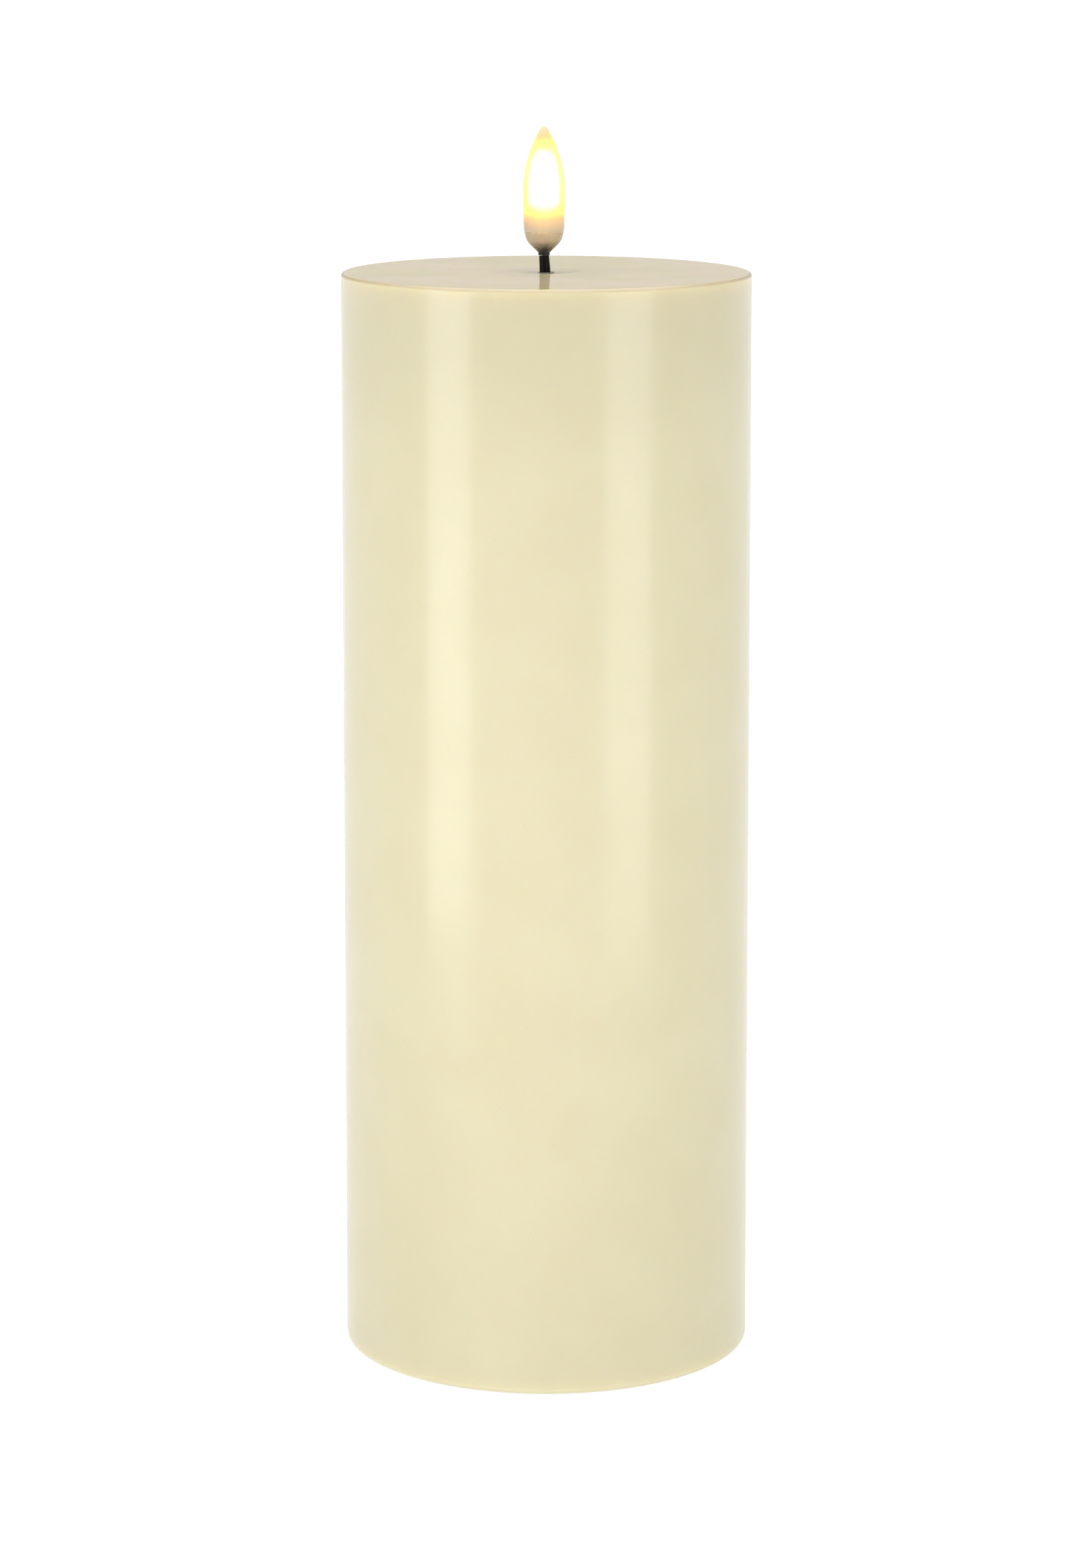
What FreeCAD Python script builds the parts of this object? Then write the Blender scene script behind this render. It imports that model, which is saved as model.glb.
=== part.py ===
import FreeCAD, Part
import Sketcher
import math
import os

Vector = FreeCAD.Vector

# A flameless wax candle: a hollow wax pillar with a lit flame bulb on a black wick, and a plastic base
# that holds two AA cells, a battery door with a sprung latch, a slide switch and a timer board.
# Frame: millimetres, +Z up, origin at the middle of the foot the candle stands on.

DIMENSIONS = {
    # How far a cut, or a block that is joined on, runs past the face it meets
    "overrun": 0.1,
    # Wax pillar
    "candle_radius": 37.5,
    "candle_height": 200.0,
    "wax_wall": 4.5,
    "wax_top": 8.0,
    "wax_shoulder_fillet": 0.7,
    "wax_foot_fillet": 1.2,
    "seat_radius": 34.6,
    "seat_depth": 4.0,
    "wick_hole_radius": 1.3,
    "bush_hole_radius": 2.5,
    "bush_hole_depth": 5.0,
    # Bush that holds the wick under the wax top
    "bush_neck_radius": 2.35,
    "bush_flange_radius": 7.0,
    "bush_flange_thick": 1.6,
    "bush_bore_radius": 1.45,
    "bush_top_gap": 0.1,
    # Wick, which leans a little as it leaves the wax
    "wick_lean": 3.6,
    "wick_cross_z": 196.0,
    "sleeve_low": 190.6,
    "sleeve_taper_low": 200.2,
    "sleeve_high": 202.97,
    "sleeve_radius": 1.0,
    "sleeve_tip_radius": 0.92,
    "sleeve_bore": 0.76,
    # Flame bulb
    "collar_low": 203.06,
    "collar_high": 203.62,
    "collar_radius": 1.06,
    "holder_high": 205.4,
    "holder_radius": 0.86,
    "holder_bore": 0.62,
    "cup_neck_radius": 1.16,
    "cup_bowl_radius": 2.5,
    "cup_bowl_z": 204.98,
    "cup_bowl_arc": 3.1,
    "cup_floor": 1.12,
    "cup_bowl_rise": 0.42,
    "seam_radius": 3.46,
    "seam_z": 206.9,
    "shoulder_radius": 3.7,
    "shoulder_z": 208.0,
    "shoulder_arc": 3.4,
    "belly_radius": 3.82,
    "belly_z": 214.8,
    "ogive_arc": 23.2,
    "tip_radius": 0.42,
    "tip_arc": 0.5,
    "bulb_wall": 0.7,
    "hollow_tip_radius": 0.2,
    # Lamp in the bulb
    "lamp_radius": 1.5,
    "lamp_rim_radius": 1.75,
    "lamp_rim_thick": 0.7,
    "lamp_low": 205.45,
    "lamp_high": 210.4,
    "lead_radius": 0.2,
    "lead_spacing": 0.36,
    "lead_low": 202.99,
    # Base housing
    "flange_low": 1.0,
    "flange_thick": 3.0,
    "flange_radius": 34.3,
    "flange_chamfer": 0.5,
    "rebate_headroom": 0.1,
    "skirt_radius": 32.7,
    "skirt_wall": 1.4,
    "skirt_high": 16.0,
    "crush_rib_radius": 0.6,
    "crush_rib_reach": 0.25,
    "crush_rib_count": 8,
    "bay_half_length": 27.3,
    "bay_half_width": 14.9,
    "bay_high": 18.0,
    "bay_wall": 1.2,
    "bay_roof": 1.4,
    "bay_corner": 2.0,
    "bay_ridge_half_length": 21.0,
    "bay_ridge_half_width": 0.9,
    "bay_ridge_height": 2.6,
    "gusset_half_thick": 0.6,
    "gusset_high": 11.0,
    "gusset_mid_x": 7.0,
    "gusset_mid_reach": 31.0,
    "gusset_side_x": 20.0,
    "gusset_side_reach": 24.9,
    # Battery door, its two hooks and its latch
    "door_thick": 1.5,
    "door_gap": 0.2,
    "door_lap": 1.5,
    "door_end_lap": 1.7,
    "door_corner": 1.5,
    "door_rib_height": 0.35,
    "door_rib_half_thick": 0.5,
    "door_rib_half_length": 13.5,
    "door_rib_pitch": 15.0,
    "door_groove_x": -23.6,
    "door_groove_pitch": 1.4,
    "door_groove_half_width": 0.3,
    "door_groove_half_length": 4.5,
    "door_groove_depth": 0.4,
    "door_swing_x": 27.3,
    "hook_width": 3.0,
    "hook_outer": 14.6,
    "hook_thick": 1.2,
    "hook_reach": 2.3,
    "hook_rise": 1.3,
    "hook_root": 0.2,
    "hook_pocket_gap": 0.3,
    "hook_pocket_low": 2.45,
    "hook_pocket_high": 5.1,
    "hook_gap": 0.15,
    "latch_half_width": 4.0,
    "latch_notch_half_width": 4.6,
    "latch_notch_x": -32.2,
    "latch_leg_thick": 0.9,
    "latch_root_x": -29.0,
    "latch_pivot_x": -30.2,
    "latch_pivot_z": 9.6,
    "latch_bend_outer": 1.2,
    "latch_foot_x": -32.0,
    "latch_catch_half_width": 3.0,
    "latch_catch_depth": 0.45,
    "latch_catch_low": 4.22,
    "latch_catch_flat": 0.3,
    "latch_catch_ramp": 0.9,
    "latch_catch_lip": 0.2,
    "latch_root_lap": 0.5,
    "latch_grip_height": 0.5,
    "latch_window_half_width": 5.4,
    "latch_window_x": -28.7,
    "latch_window_high": 12.0,
    "latch_box_x": -31.9,
    "latch_box_wall": 0.9,
    "latch_scoop_x": -33.4,
    "latch_scoop_half_width": 3.4,
    "latch_scoop_depth": 1.2,
    # AA cells and their contacts
    "cell_radius": 7.25,
    "cell_length": 50.5,
    "cell_nub_radius": 2.75,
    "cell_nub_length": 1.0,
    "cell_base_dish": 0.3,
    "cell_base_radius": 4.5,
    "cell_pitch_half": 7.35,
    "cell_z": 10.35,
    "plate_thick": 0.4,
    "plate_half_width": 4.6,
    "plate_low": 5.4,
    "plate_high": 15.2,
    "plate_dimple_radius": 2.2,
    "plate_dimple_rise": 0.5,
    "tab_half_width": 1.1,
    "tab_high": 22.6,
    "tab_root_lap": 0.5,
    "tab_slot_gap": 0.1,
    "tab_slot_back": 0.05,
    "spring_wire_radius": 0.28,
    "spring_base_radius": 4.0,
    "spring_turn_pitch": 0.68,
    "spring_cone_angle": 28.0,
    # Slide switch
    "switch_y": -21.7,
    "switch_frame_low": 4.05,
    "switch_frame_high": 8.3,
    "switch_half_length": 6.35,
    "switch_half_width": 2.7,
    "switch_frame_wall": 0.3,
    "switch_plate_thick": 1.0,
    "switch_plate_gap": 0.05,
    "knob_rest_x": -2.0,
    "knob_travel": 4.0,
    "knob_half_length": 1.25,
    "knob_half_width": 1.2,
    "knob_low": 0.5,
    "knob_groove_x": 0.5,
    "knob_groove_half_width": 0.15,
    "knob_groove_depth": 0.3,
    "slider_half_length": 2.8,
    "slider_half_width": 2.2,
    "slider_low": 4.5,
    "slider_high": 6.9,
    "lever_root": 0.5,
    "wiper_thick": 0.25,
    "wiper_half_length": 2.4,
    "wiper_half_width": 0.7,
    "slot_gap": 0.25,
    "dish_half_length": 8.0,
    "dish_half_width": 4.0,
    "dish_depth": 1.1,
    "pin_radius": 0.3,
    "pin_pitch": 2.5,
    "pin_high": 11.0,
    "pin_gap": 0.03,
    # Timer board
    "board_low": 8.8,
    "board_thick": 1.2,
    "board_half_length": 16.8,
    "board_front": -26.0,
    "board_back": -17.3,
    "screw_x": 13.6,
    "screw_radius": 0.8,
    "screw_low": 5.0,
    "screw_end_gap": 0.3,
    "screw_head_radius": 1.9,
    "screw_head_height": 1.2,
    "screw_cross_half_width": 0.28,
    "screw_cross_half_length": 1.1,
    "screw_cross_depth": 0.7,
    "boss_radius": 2.1,
    "boss_bore": 0.86,
    "board_hole": 1.0,
    "board_pad_gap": 0.1,
    "chip_x": -8.6,
    "chip_half_length": 2.45,
    "chip_half_width": 1.95,
    "chip_height": 1.5,
    "chip_gap": 0.12,
    "chip_leg_pitch": 1.27,
    "chip_leg_half_width": 0.2,
    "chip_leg_reach": 1.0,
    "chip_leg_knee": 0.4,
    "chip_leg_thick": 0.2,
    "chip_leg_high": 0.75,
    "crystal_radius": 1.0,
    "crystal_length": 6.0,
    "crystal_x": -3.0,
    "crystal_y": -18.7,
    "capacitor_x": 8.6,
    "capacitor_radius": 2.0,
    "capacitor_height": 6.5,
    "capacitor_groove": 0.25,
    "capacitor_groove_z": 1.2,
    "resistor_pitch": 3.0,
    "resistor_y": -24.9,
    "resistor_half_length": 0.8,
    "resistor_half_width": 0.4,
    "resistor_height": 0.45,
    # Wires
    "battery_wire_radius": 0.5,
    "lamp_wire_radius": 0.34,
    "wire_pad_y": -18.4,
    "battery_pad_x": 12.0,
    "battery_pad_gap": 2.4,
    "battery_turn_red": 16.5,
    "battery_turn_black": 19.5,
    "lamp_pad_x": 12.0,
    "lamp_pad_gap": 2.2,
    "lamp_wire_rise": 40.0,
    "lamp_wire_gather": 160.0,
    "lamp_wire_spread": 0.72,
    "lamp_wire_entry": 1.0,
    "lamp_wire_end_gap": 0.05,
    "wire_end_rise": 0.3,
    "wire_tab_drop": 0.6,
    "wire_tab_gap": 0.05,
}

SIDES = (-1, 1)
FULL_TURN = 360.0
ROUND_CORNERS = (1, 3, 5, 7)
SAME_PLACE = 1e-4
# A wire's bend takes this share of the shorter run beside it
BEND_SHARE = 0.45
SHORTEST_RUN = 1e-6
VOLUME_TOLERANCE = 0.01
# Turns in each stretch of a coil's path
HELIX_SEGMENT = 0.5
# Places in a row, counted in pitches from its middle
ROW_OF_THREE = (-1, 0, 1)
ROW_OF_FOUR = (-1.5, -0.5, 0.5, 1.5)

doc = FreeCAD.newDocument("flameless_candle")
subparts = []


# ---------------------------------------------------------------- sheet and sizes


class Size:
    """A length or angle: its value, and the sheet expression that gives it."""

    def __init__(self, value, text):
        self.value = value
        self.text = text

    def __add__(self, other):
        other = as_size(other)
        return Size(self.value + other.value, f"({self.text} + {other.text})")

    def __sub__(self, other):
        other = as_size(other)
        return Size(self.value - other.value, f"({self.text} - {other.text})")

    def __mul__(self, factor):
        return Size(self.value * factor, f"({self.text} * {factor})")

    def __rmul__(self, factor):
        return self * factor

    def __neg__(self):
        return Size(-self.value, f"(-1 * {self.text})")

    def tangent(self):
        return Size(math.tan(math.radians(self.value)), f"tan({self.text} * 1 deg)")

    def times(self, other):
        return Size(self.value * other.value, f"({self.text} * {other.text})")


def other_leg(hypotenuse, leg):
    """The third side of a right triangle."""
    value = math.sqrt(hypotenuse.value**2 - leg.value**2)
    return Size(value, f"sqrt({hypotenuse.text} ^ 2 - {leg.text} ^ 2)")


def as_size(number):
    return number if isinstance(number, Size) else Size(float(number), str(float(number)))


class Sheet:
    """The document's spreadsheet. Each alias reads as an attribute and gives a Size."""

    def __init__(self, table):
        self.cells = doc.addObject("Spreadsheet::Sheet", "Dimensions")
        for row, (name, value) in enumerate(table.items(), start=1):
            self.cells.set(f"A{row}", name)
            self.cells.set(f"B{row}", str(value))
            self.cells.setAlias(f"B{row}", name)
        doc.recompute()

    def __getattr__(self, name):
        return Size(float(getattr(self.cells, name)), f"Dimensions.{name}")


d = Sheet(DIMENSIONS)
ZERO = Size(0.0, "0")
CROSS = (d.screw_cross_half_length, d.screw_cross_half_width)


def side_name(side):
    return "plus" if side > 0 else "minus"


def bind(thing, prop, size):
    """Ties a property of a document object to the sheet."""
    thing.setExpression(prop, as_size(size).text)


def name_part(thing, label):
    """Marks a document object as a sub-part that is exported under this label."""
    thing.Label = label
    subparts.append(thing)
    return thing


# ---------------------------------------------------------------- sketches


def rectangle(left, right, front, back):
    return [(left, front), (right, front), (right, back), (left, back)]


def centred(half_length, half_width, x=ZERO, y=ZERO):
    return rectangle(x - half_length, x + half_length, y - half_width, y + half_width)


def rounded(left, right, front, back, radius):
    """A rectangle with round corners, whose arcs are the edges in ROUND_CORNERS."""
    return [
        (left + radius, front),
        (right - radius, front),
        (right, front + radius),
        (right, back - radius),
        (right - radius, back),
        (left + radius, back),
        (left, back - radius),
        (left, front + radius),
    ]


def corner_arcs(radius):
    return {edge: radius for edge in ROUND_CORNERS}


def disc(x, y, radius):
    return (as_size(x), as_size(y), as_size(radius))


def hold_point(sketch, edge, end, x, y):
    """Fixes one end of an edge at a place given by the sheet."""
    for kind, size, axis in (("DistanceX", x, -2), ("DistanceY", y, -1)):
        if size.text == ZERO.text:
            sketch.addConstraint(Sketcher.Constraint("PointOnObject", edge, end, axis))
            continue
        number = sketch.addConstraint(Sketcher.Constraint(kind, -1, 1, edge, end, size.value))
        sketch.setExpression(f"Constraints[{number}]", size.text)


def arc_between(start, finish, radius):
    """The shorter arc between two points. It bulges to the right on the way from start to finish when
    the radius is positive, and to the left when it is negative."""
    chord = finish - start
    middle = (start + finish) * 0.5
    rise = math.sqrt(max(radius**2 - (chord.Length / 2) ** 2, 0.0))
    left = Vector(-chord.y, chord.x, 0).normalize()
    centre = middle + left * math.copysign(rise, radius)
    first = math.atan2(start.y - centre.y, start.x - centre.x)
    last = math.atan2(finish.y - centre.y, finish.x - centre.x)
    if radius < 0:
        first, last = last, first
    circle = Part.Circle(centre, Vector(0, 0, 1), abs(radius))
    return Part.ArcOfCircle(circle, first, last)


def draw(sketch, outline, arcs=None):
    """Draws a closed outline of straight edges, with an arc on each edge that arcs gives a radius for."""
    if isinstance(outline, tuple):
        x, y, radius = outline
        centre = Vector(x.value, y.value, 0)
        edge = sketch.addGeometry(Part.Circle(centre, Vector(0, 0, 1), radius.value))
        number = sketch.addConstraint(Sketcher.Constraint("Radius", edge, radius.value))
        sketch.setExpression(f"Constraints[{number}]", radius.text)
        hold_point(sketch, edge, 3, x, y)
        return
    arcs = arcs or {}
    corners = [(as_size(x), as_size(y)) for x, y in outline]
    points = [Vector(x.value, y.value, 0) for x, y in corners]
    ends = []
    for index, start in enumerate(points):
        finish = points[(index + 1) % len(points)]
        if index not in arcs:
            ends.append((sketch.addGeometry(Part.LineSegment(start, finish)), 1, 2))
            continue
        radius = arcs[index]
        edge = sketch.addGeometry(arc_between(start, finish, radius.value))
        ends.append((edge, 1, 2) if radius.value > 0 else (edge, 2, 1))
        number = sketch.addConstraint(Sketcher.Constraint("Radius", edge, abs(radius.value)))
        sketch.setExpression(f"Constraints[{number}]", f"abs({radius.text})")
    for index, (edge, start, finish) in enumerate(ends):
        after, after_start, _ = ends[(index + 1) % len(ends)]
        sketch.addConstraint(Sketcher.Constraint("Coincident", edge, finish, after, after_start))
        hold_point(sketch, edge, start, *corners[index])


def sketch_on(body, name, role, outlines, offset=ZERO, arcs=None):
    """A sketch on one of the body's own origin planes, moved along that plane's normal by offset."""
    sketch = body.newObject("Sketcher::SketchObject", name)
    plane = next(item for item in body.Origin.OriginFeatures if item.Role == role)
    sketch.AttachmentSupport = [(plane, "")]
    sketch.MapMode = "FlatFace"
    bind(sketch, "AttachmentOffset.Base.z", offset)
    for outline in outlines:
        draw(sketch, outline, arcs)
    return sketch


# ---------------------------------------------------------------- features


def new_body(label):
    return name_part(doc.addObject("PartDesign::Body", label), label)


def pad(body, name, outlines, low, high, arcs=None):
    """Adds material between two heights."""
    feature = body.newObject("PartDesign::Pad", name)
    feature.Profile = sketch_on(body, name + "_sketch", "XY_Plane", outlines, low, arcs)
    bind(feature, "Length", high - low)
    doc.recompute()
    return feature


def pocket(body, name, outlines, low, high, arcs=None):
    """Removes material between two heights, and checks that it did."""
    before = body.Shape.Volume
    feature = body.newObject("PartDesign::Pocket", name)
    feature.Profile = sketch_on(body, name + "_sketch", "XY_Plane", outlines, low, arcs)
    feature.Reversed = True
    bind(feature, "Length", high - low)
    doc.recompute()
    if body.Shape.Volume >= before:
        raise RuntimeError(f"{name} removed nothing")
    return feature


def revolve(body, name, outline, arcs=None, kind="PartDesign::Revolution"):
    """Turns an outline of radius and height about the body's upright axis."""
    feature = body.newObject(kind, name)
    sketch = sketch_on(body, name + "_sketch", "XZ_Plane", [outline], ZERO, arcs)
    feature.Profile = sketch
    feature.ReferenceAxis = (sketch, ["V_Axis"])
    feature.Angle = FULL_TURN
    doc.recompute()
    return feature


def pad_across(body, name, outlines, front, back, arcs=None):
    """Adds an upright profile of X and height, from one Y to another."""
    feature = body.newObject("PartDesign::Pad", name)
    feature.Profile = sketch_on(body, name + "_sketch", "XZ_Plane", outlines, -back, arcs)
    bind(feature, "Length", back - front)
    doc.recompute()
    return feature


def pad_along(body, name, outlines, left, right):
    """Adds an upright profile of Y and height, from one X to another."""
    feature = body.newObject("PartDesign::Pad", name)
    feature.Profile = sketch_on(body, name + "_sketch", "YZ_Plane", outlines, left)
    bind(feature, "Length", right - left)
    doc.recompute()
    return feature


def dress(body, kind, name, prop, size, chosen):
    """A fillet or chamfer on the edges of the body's last feature that chosen() picks."""
    base = body.Tip
    edges = [f"Edge{n}" for n, edge in enumerate(base.Shape.Edges, start=1) if chosen(edge)]
    if not edges:
        raise RuntimeError(f"{name} found no edges")
    feature = body.newObject(kind, name)
    feature.Base = (base, edges)
    bind(feature, prop, size)
    doc.recompute()
    return feature


def fillet(body, name, radius, chosen):
    return dress(body, "PartDesign::Fillet", name, "Radius", radius, chosen)


def chamfer(body, name, size, chosen):
    return dress(body, "PartDesign::Chamfer", name, "Size", size, chosen)


def is_ring(edge, radius, z):
    """True for a circular edge about the upright axis at this radius and height."""
    box = edge.BoundBox
    flat = abs(box.ZMin - z.value) < SAME_PLACE and abs(box.ZMax - z.value) < SAME_PLACE
    right, left = abs(box.XMax - radius.value), abs(box.XMin + radius.value)
    return flat and right < SAME_PLACE and left < SAME_PLACE


def place(thing, x=ZERO, y=ZERO, z=ZERO):
    for axis, size in zip("xyz", (x, y, z)):
        bind(thing, f"Placement.Base.{axis}", size)


def block(name, left, right, front, back, low, high):
    solid = doc.addObject("Part::Box", name)
    bind(solid, "Length", right - left)
    bind(solid, "Width", back - front)
    bind(solid, "Height", high - low)
    place(solid, left, front, low)
    return solid


def rod(name, radius, low, high, x=ZERO, y=ZERO):
    solid = doc.addObject("Part::Cylinder", name)
    bind(solid, "Radius", radius)
    bind(solid, "Height", high - low)
    place(solid, x, y, low)
    return solid


def lying_rod(name, radius, left, right, y, z):
    """A cylinder along X."""
    solid = doc.addObject("Part::Cylinder", name)
    solid.Placement.Rotation = FreeCAD.Rotation(Vector(0, 1, 0), 90)
    bind(solid, "Radius", radius)
    bind(solid, "Height", right - left)
    place(solid, left, y, z)
    return solid


def cut(name, base, tool):
    solid = doc.addObject("Part::Cut", name)
    solid.Base, solid.Tool = base, tool
    return solid


def fuse(name, items):
    solid = doc.addObject("Part::MultiFuse", name)
    solid.Shapes = items
    return solid


def group(name, items):
    """Separate solids that share one sub-part."""
    several = doc.addObject("Part::Compound", name)
    several.Links = items
    return several


# ---------------------------------------------------------------- wax, wick and flame

cavity_radius = d.candle_radius - d.wax_wall
cavity_high = d.candle_height - d.wax_top
flange_high = d.flange_low + d.flange_thick


def lean_x(z):
    """Where the middle of the leaning wick is at a height."""
    return (d.wick_cross_z - z).times(d.wick_lean.tangent())


flame_x = lean_x(d.collar_low)


def make_wax_shell():
    body = new_body("wax_shell")
    top = d.candle_height
    step = cavity_high + d.bush_hole_depth
    outline = [
        (d.wick_hole_radius, top),
        (d.wick_hole_radius, step),
        (d.bush_hole_radius, step),
        (d.bush_hole_radius, cavity_high),
        (cavity_radius, cavity_high),
        (cavity_radius, d.seat_depth),
        (d.seat_radius, d.seat_depth),
        (d.seat_radius, ZERO),
        (d.candle_radius, ZERO),
        (d.candle_radius, top),
    ]
    revolve(body, "wax_turned", outline)
    fillet(body, "wax_shoulder", d.wax_shoulder_fillet, lambda e: is_ring(e, d.candle_radius, top))
    fillet(body, "wax_foot", d.wax_foot_fillet, lambda e: is_ring(e, d.candle_radius, ZERO))


def make_wick_bush():
    body = new_body("wick_bush")
    flange_low = cavity_high - d.bush_flange_thick
    top = cavity_high + d.bush_hole_depth - d.bush_top_gap
    outline = [
        (d.bush_bore_radius, flange_low),
        (d.bush_flange_radius, flange_low),
        (d.bush_flange_radius, cavity_high),
        (d.bush_neck_radius, cavity_high),
        (d.bush_neck_radius, top),
        (d.bush_bore_radius, top),
    ]
    revolve(body, "bush_turned", outline)


def make_wick_sleeve():
    """A black tube over the lamp's wires. It leans, so it is turned upright and then tilted."""
    body = new_body("wick_sleeve")
    taper = d.sleeve_taper_low - d.sleeve_low
    length = d.sleeve_high - d.sleeve_low
    outline = [
        (d.sleeve_bore, ZERO),
        (d.sleeve_radius, ZERO),
        (d.sleeve_radius, taper),
        (d.sleeve_tip_radius, length),
        (d.sleeve_bore, length),
    ]
    revolve(body, "sleeve_turned", outline)
    body.Placement.Rotation = FreeCAD.Rotation(Vector(0, 1, 0), -d.wick_lean.value)
    place(body, lean_x(d.sleeve_low), ZERO, d.sleeve_low)


def make_lamp_holder():
    """The black seat of the lamp, with the collar that the flame bulb stands on."""
    body = new_body("lamp_holder")
    outline = [
        (d.holder_bore, d.collar_low),
        (d.collar_radius, d.collar_low),
        (d.collar_radius, d.collar_high),
        (d.holder_radius, d.collar_high),
        (d.holder_radius, d.holder_high),
        (d.holder_bore, d.holder_high),
    ]
    revolve(body, "holder_turned", outline)
    place(body, flame_x)


def make_flame_cup():
    """The lower bowl of the flame bulb."""
    body = new_body("flame_cup")
    wall = d.bulb_wall
    outline = [
        (d.holder_radius, d.collar_high),
        (d.cup_neck_radius, d.collar_high),
        (d.cup_bowl_radius, d.cup_bowl_z),
        (d.seam_radius, d.seam_z),
        (d.seam_radius - wall, d.seam_z),
        (d.cup_bowl_radius - wall, d.cup_bowl_z + d.cup_bowl_rise),
        (d.holder_radius, d.collar_high + d.cup_floor),
    ]
    arcs = {2: d.cup_bowl_arc, 4: -(d.cup_bowl_arc - wall)}
    revolve(body, "cup_turned", outline, arcs)
    place(body, flame_x)


def make_flame_lens():
    """The upper shell of the flame bulb: a frosted bullet with a pointed tip."""
    body = new_body("flame_lens")
    wall = d.bulb_wall
    inset = d.ogive_arc - d.belly_radius
    tip_z = d.belly_z + other_leg(d.ogive_arc, inset + d.tip_radius)
    hollow_tip_z = d.belly_z + other_leg(d.ogive_arc - wall, inset + d.hollow_tip_radius)
    crown = tip_z + d.tip_arc - other_leg(d.tip_arc, d.tip_radius)
    outline = [
        (d.seam_radius, d.seam_z),
        (d.shoulder_radius, d.shoulder_z),
        (d.belly_radius, d.belly_z),
        (d.tip_radius, tip_z),
        (ZERO, crown),
        (ZERO, hollow_tip_z),
        (d.hollow_tip_radius, hollow_tip_z),
        (d.belly_radius - wall, d.belly_z),
        (d.shoulder_radius - wall, d.shoulder_z),
        (d.seam_radius - wall, d.seam_z),
    ]
    arcs = {
        0: d.shoulder_arc,
        2: d.ogive_arc,
        3: d.tip_arc,
        6: -(d.ogive_arc - wall),
        8: -(d.shoulder_arc - wall),
    }
    revolve(body, "lens_turned", outline, arcs)
    place(body, flame_x)


def make_lamp():
    body = new_body("led_lamp")
    rim_high = d.lamp_low + d.lamp_rim_thick
    dome_low = d.lamp_high - d.lamp_radius
    outline = [
        (ZERO, d.lamp_low),
        (d.lamp_rim_radius, d.lamp_low),
        (d.lamp_rim_radius, rim_high),
        (d.lamp_radius, rim_high),
        (d.lamp_radius, dome_low),
        (ZERO, d.lamp_high),
    ]
    revolve(body, "lamp_turned", outline, {4: d.lamp_radius})
    place(body, flame_x)
    leads = [
        rod(f"lead_{n}", d.lead_radius, d.lead_low, d.lamp_low, flame_x + d.lead_spacing * side)
        for n, side in enumerate(SIDES)
    ]
    name_part(group("leads", leads), "led_leads")


# ---------------------------------------------------------------- base housing

door_high = d.flange_low + d.door_thick
door_side = d.bay_half_width + d.door_lap
door_end = d.bay_half_length + d.door_end_lap
bay_outer_x = d.bay_half_length + d.bay_wall
bay_outer_y = d.bay_half_width + d.bay_wall
bay_top = d.bay_high + d.bay_roof
board_high = d.board_low + d.board_thick
knob_slot_half = d.knob_travel * 0.5 + d.knob_half_length + d.slot_gap


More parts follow.
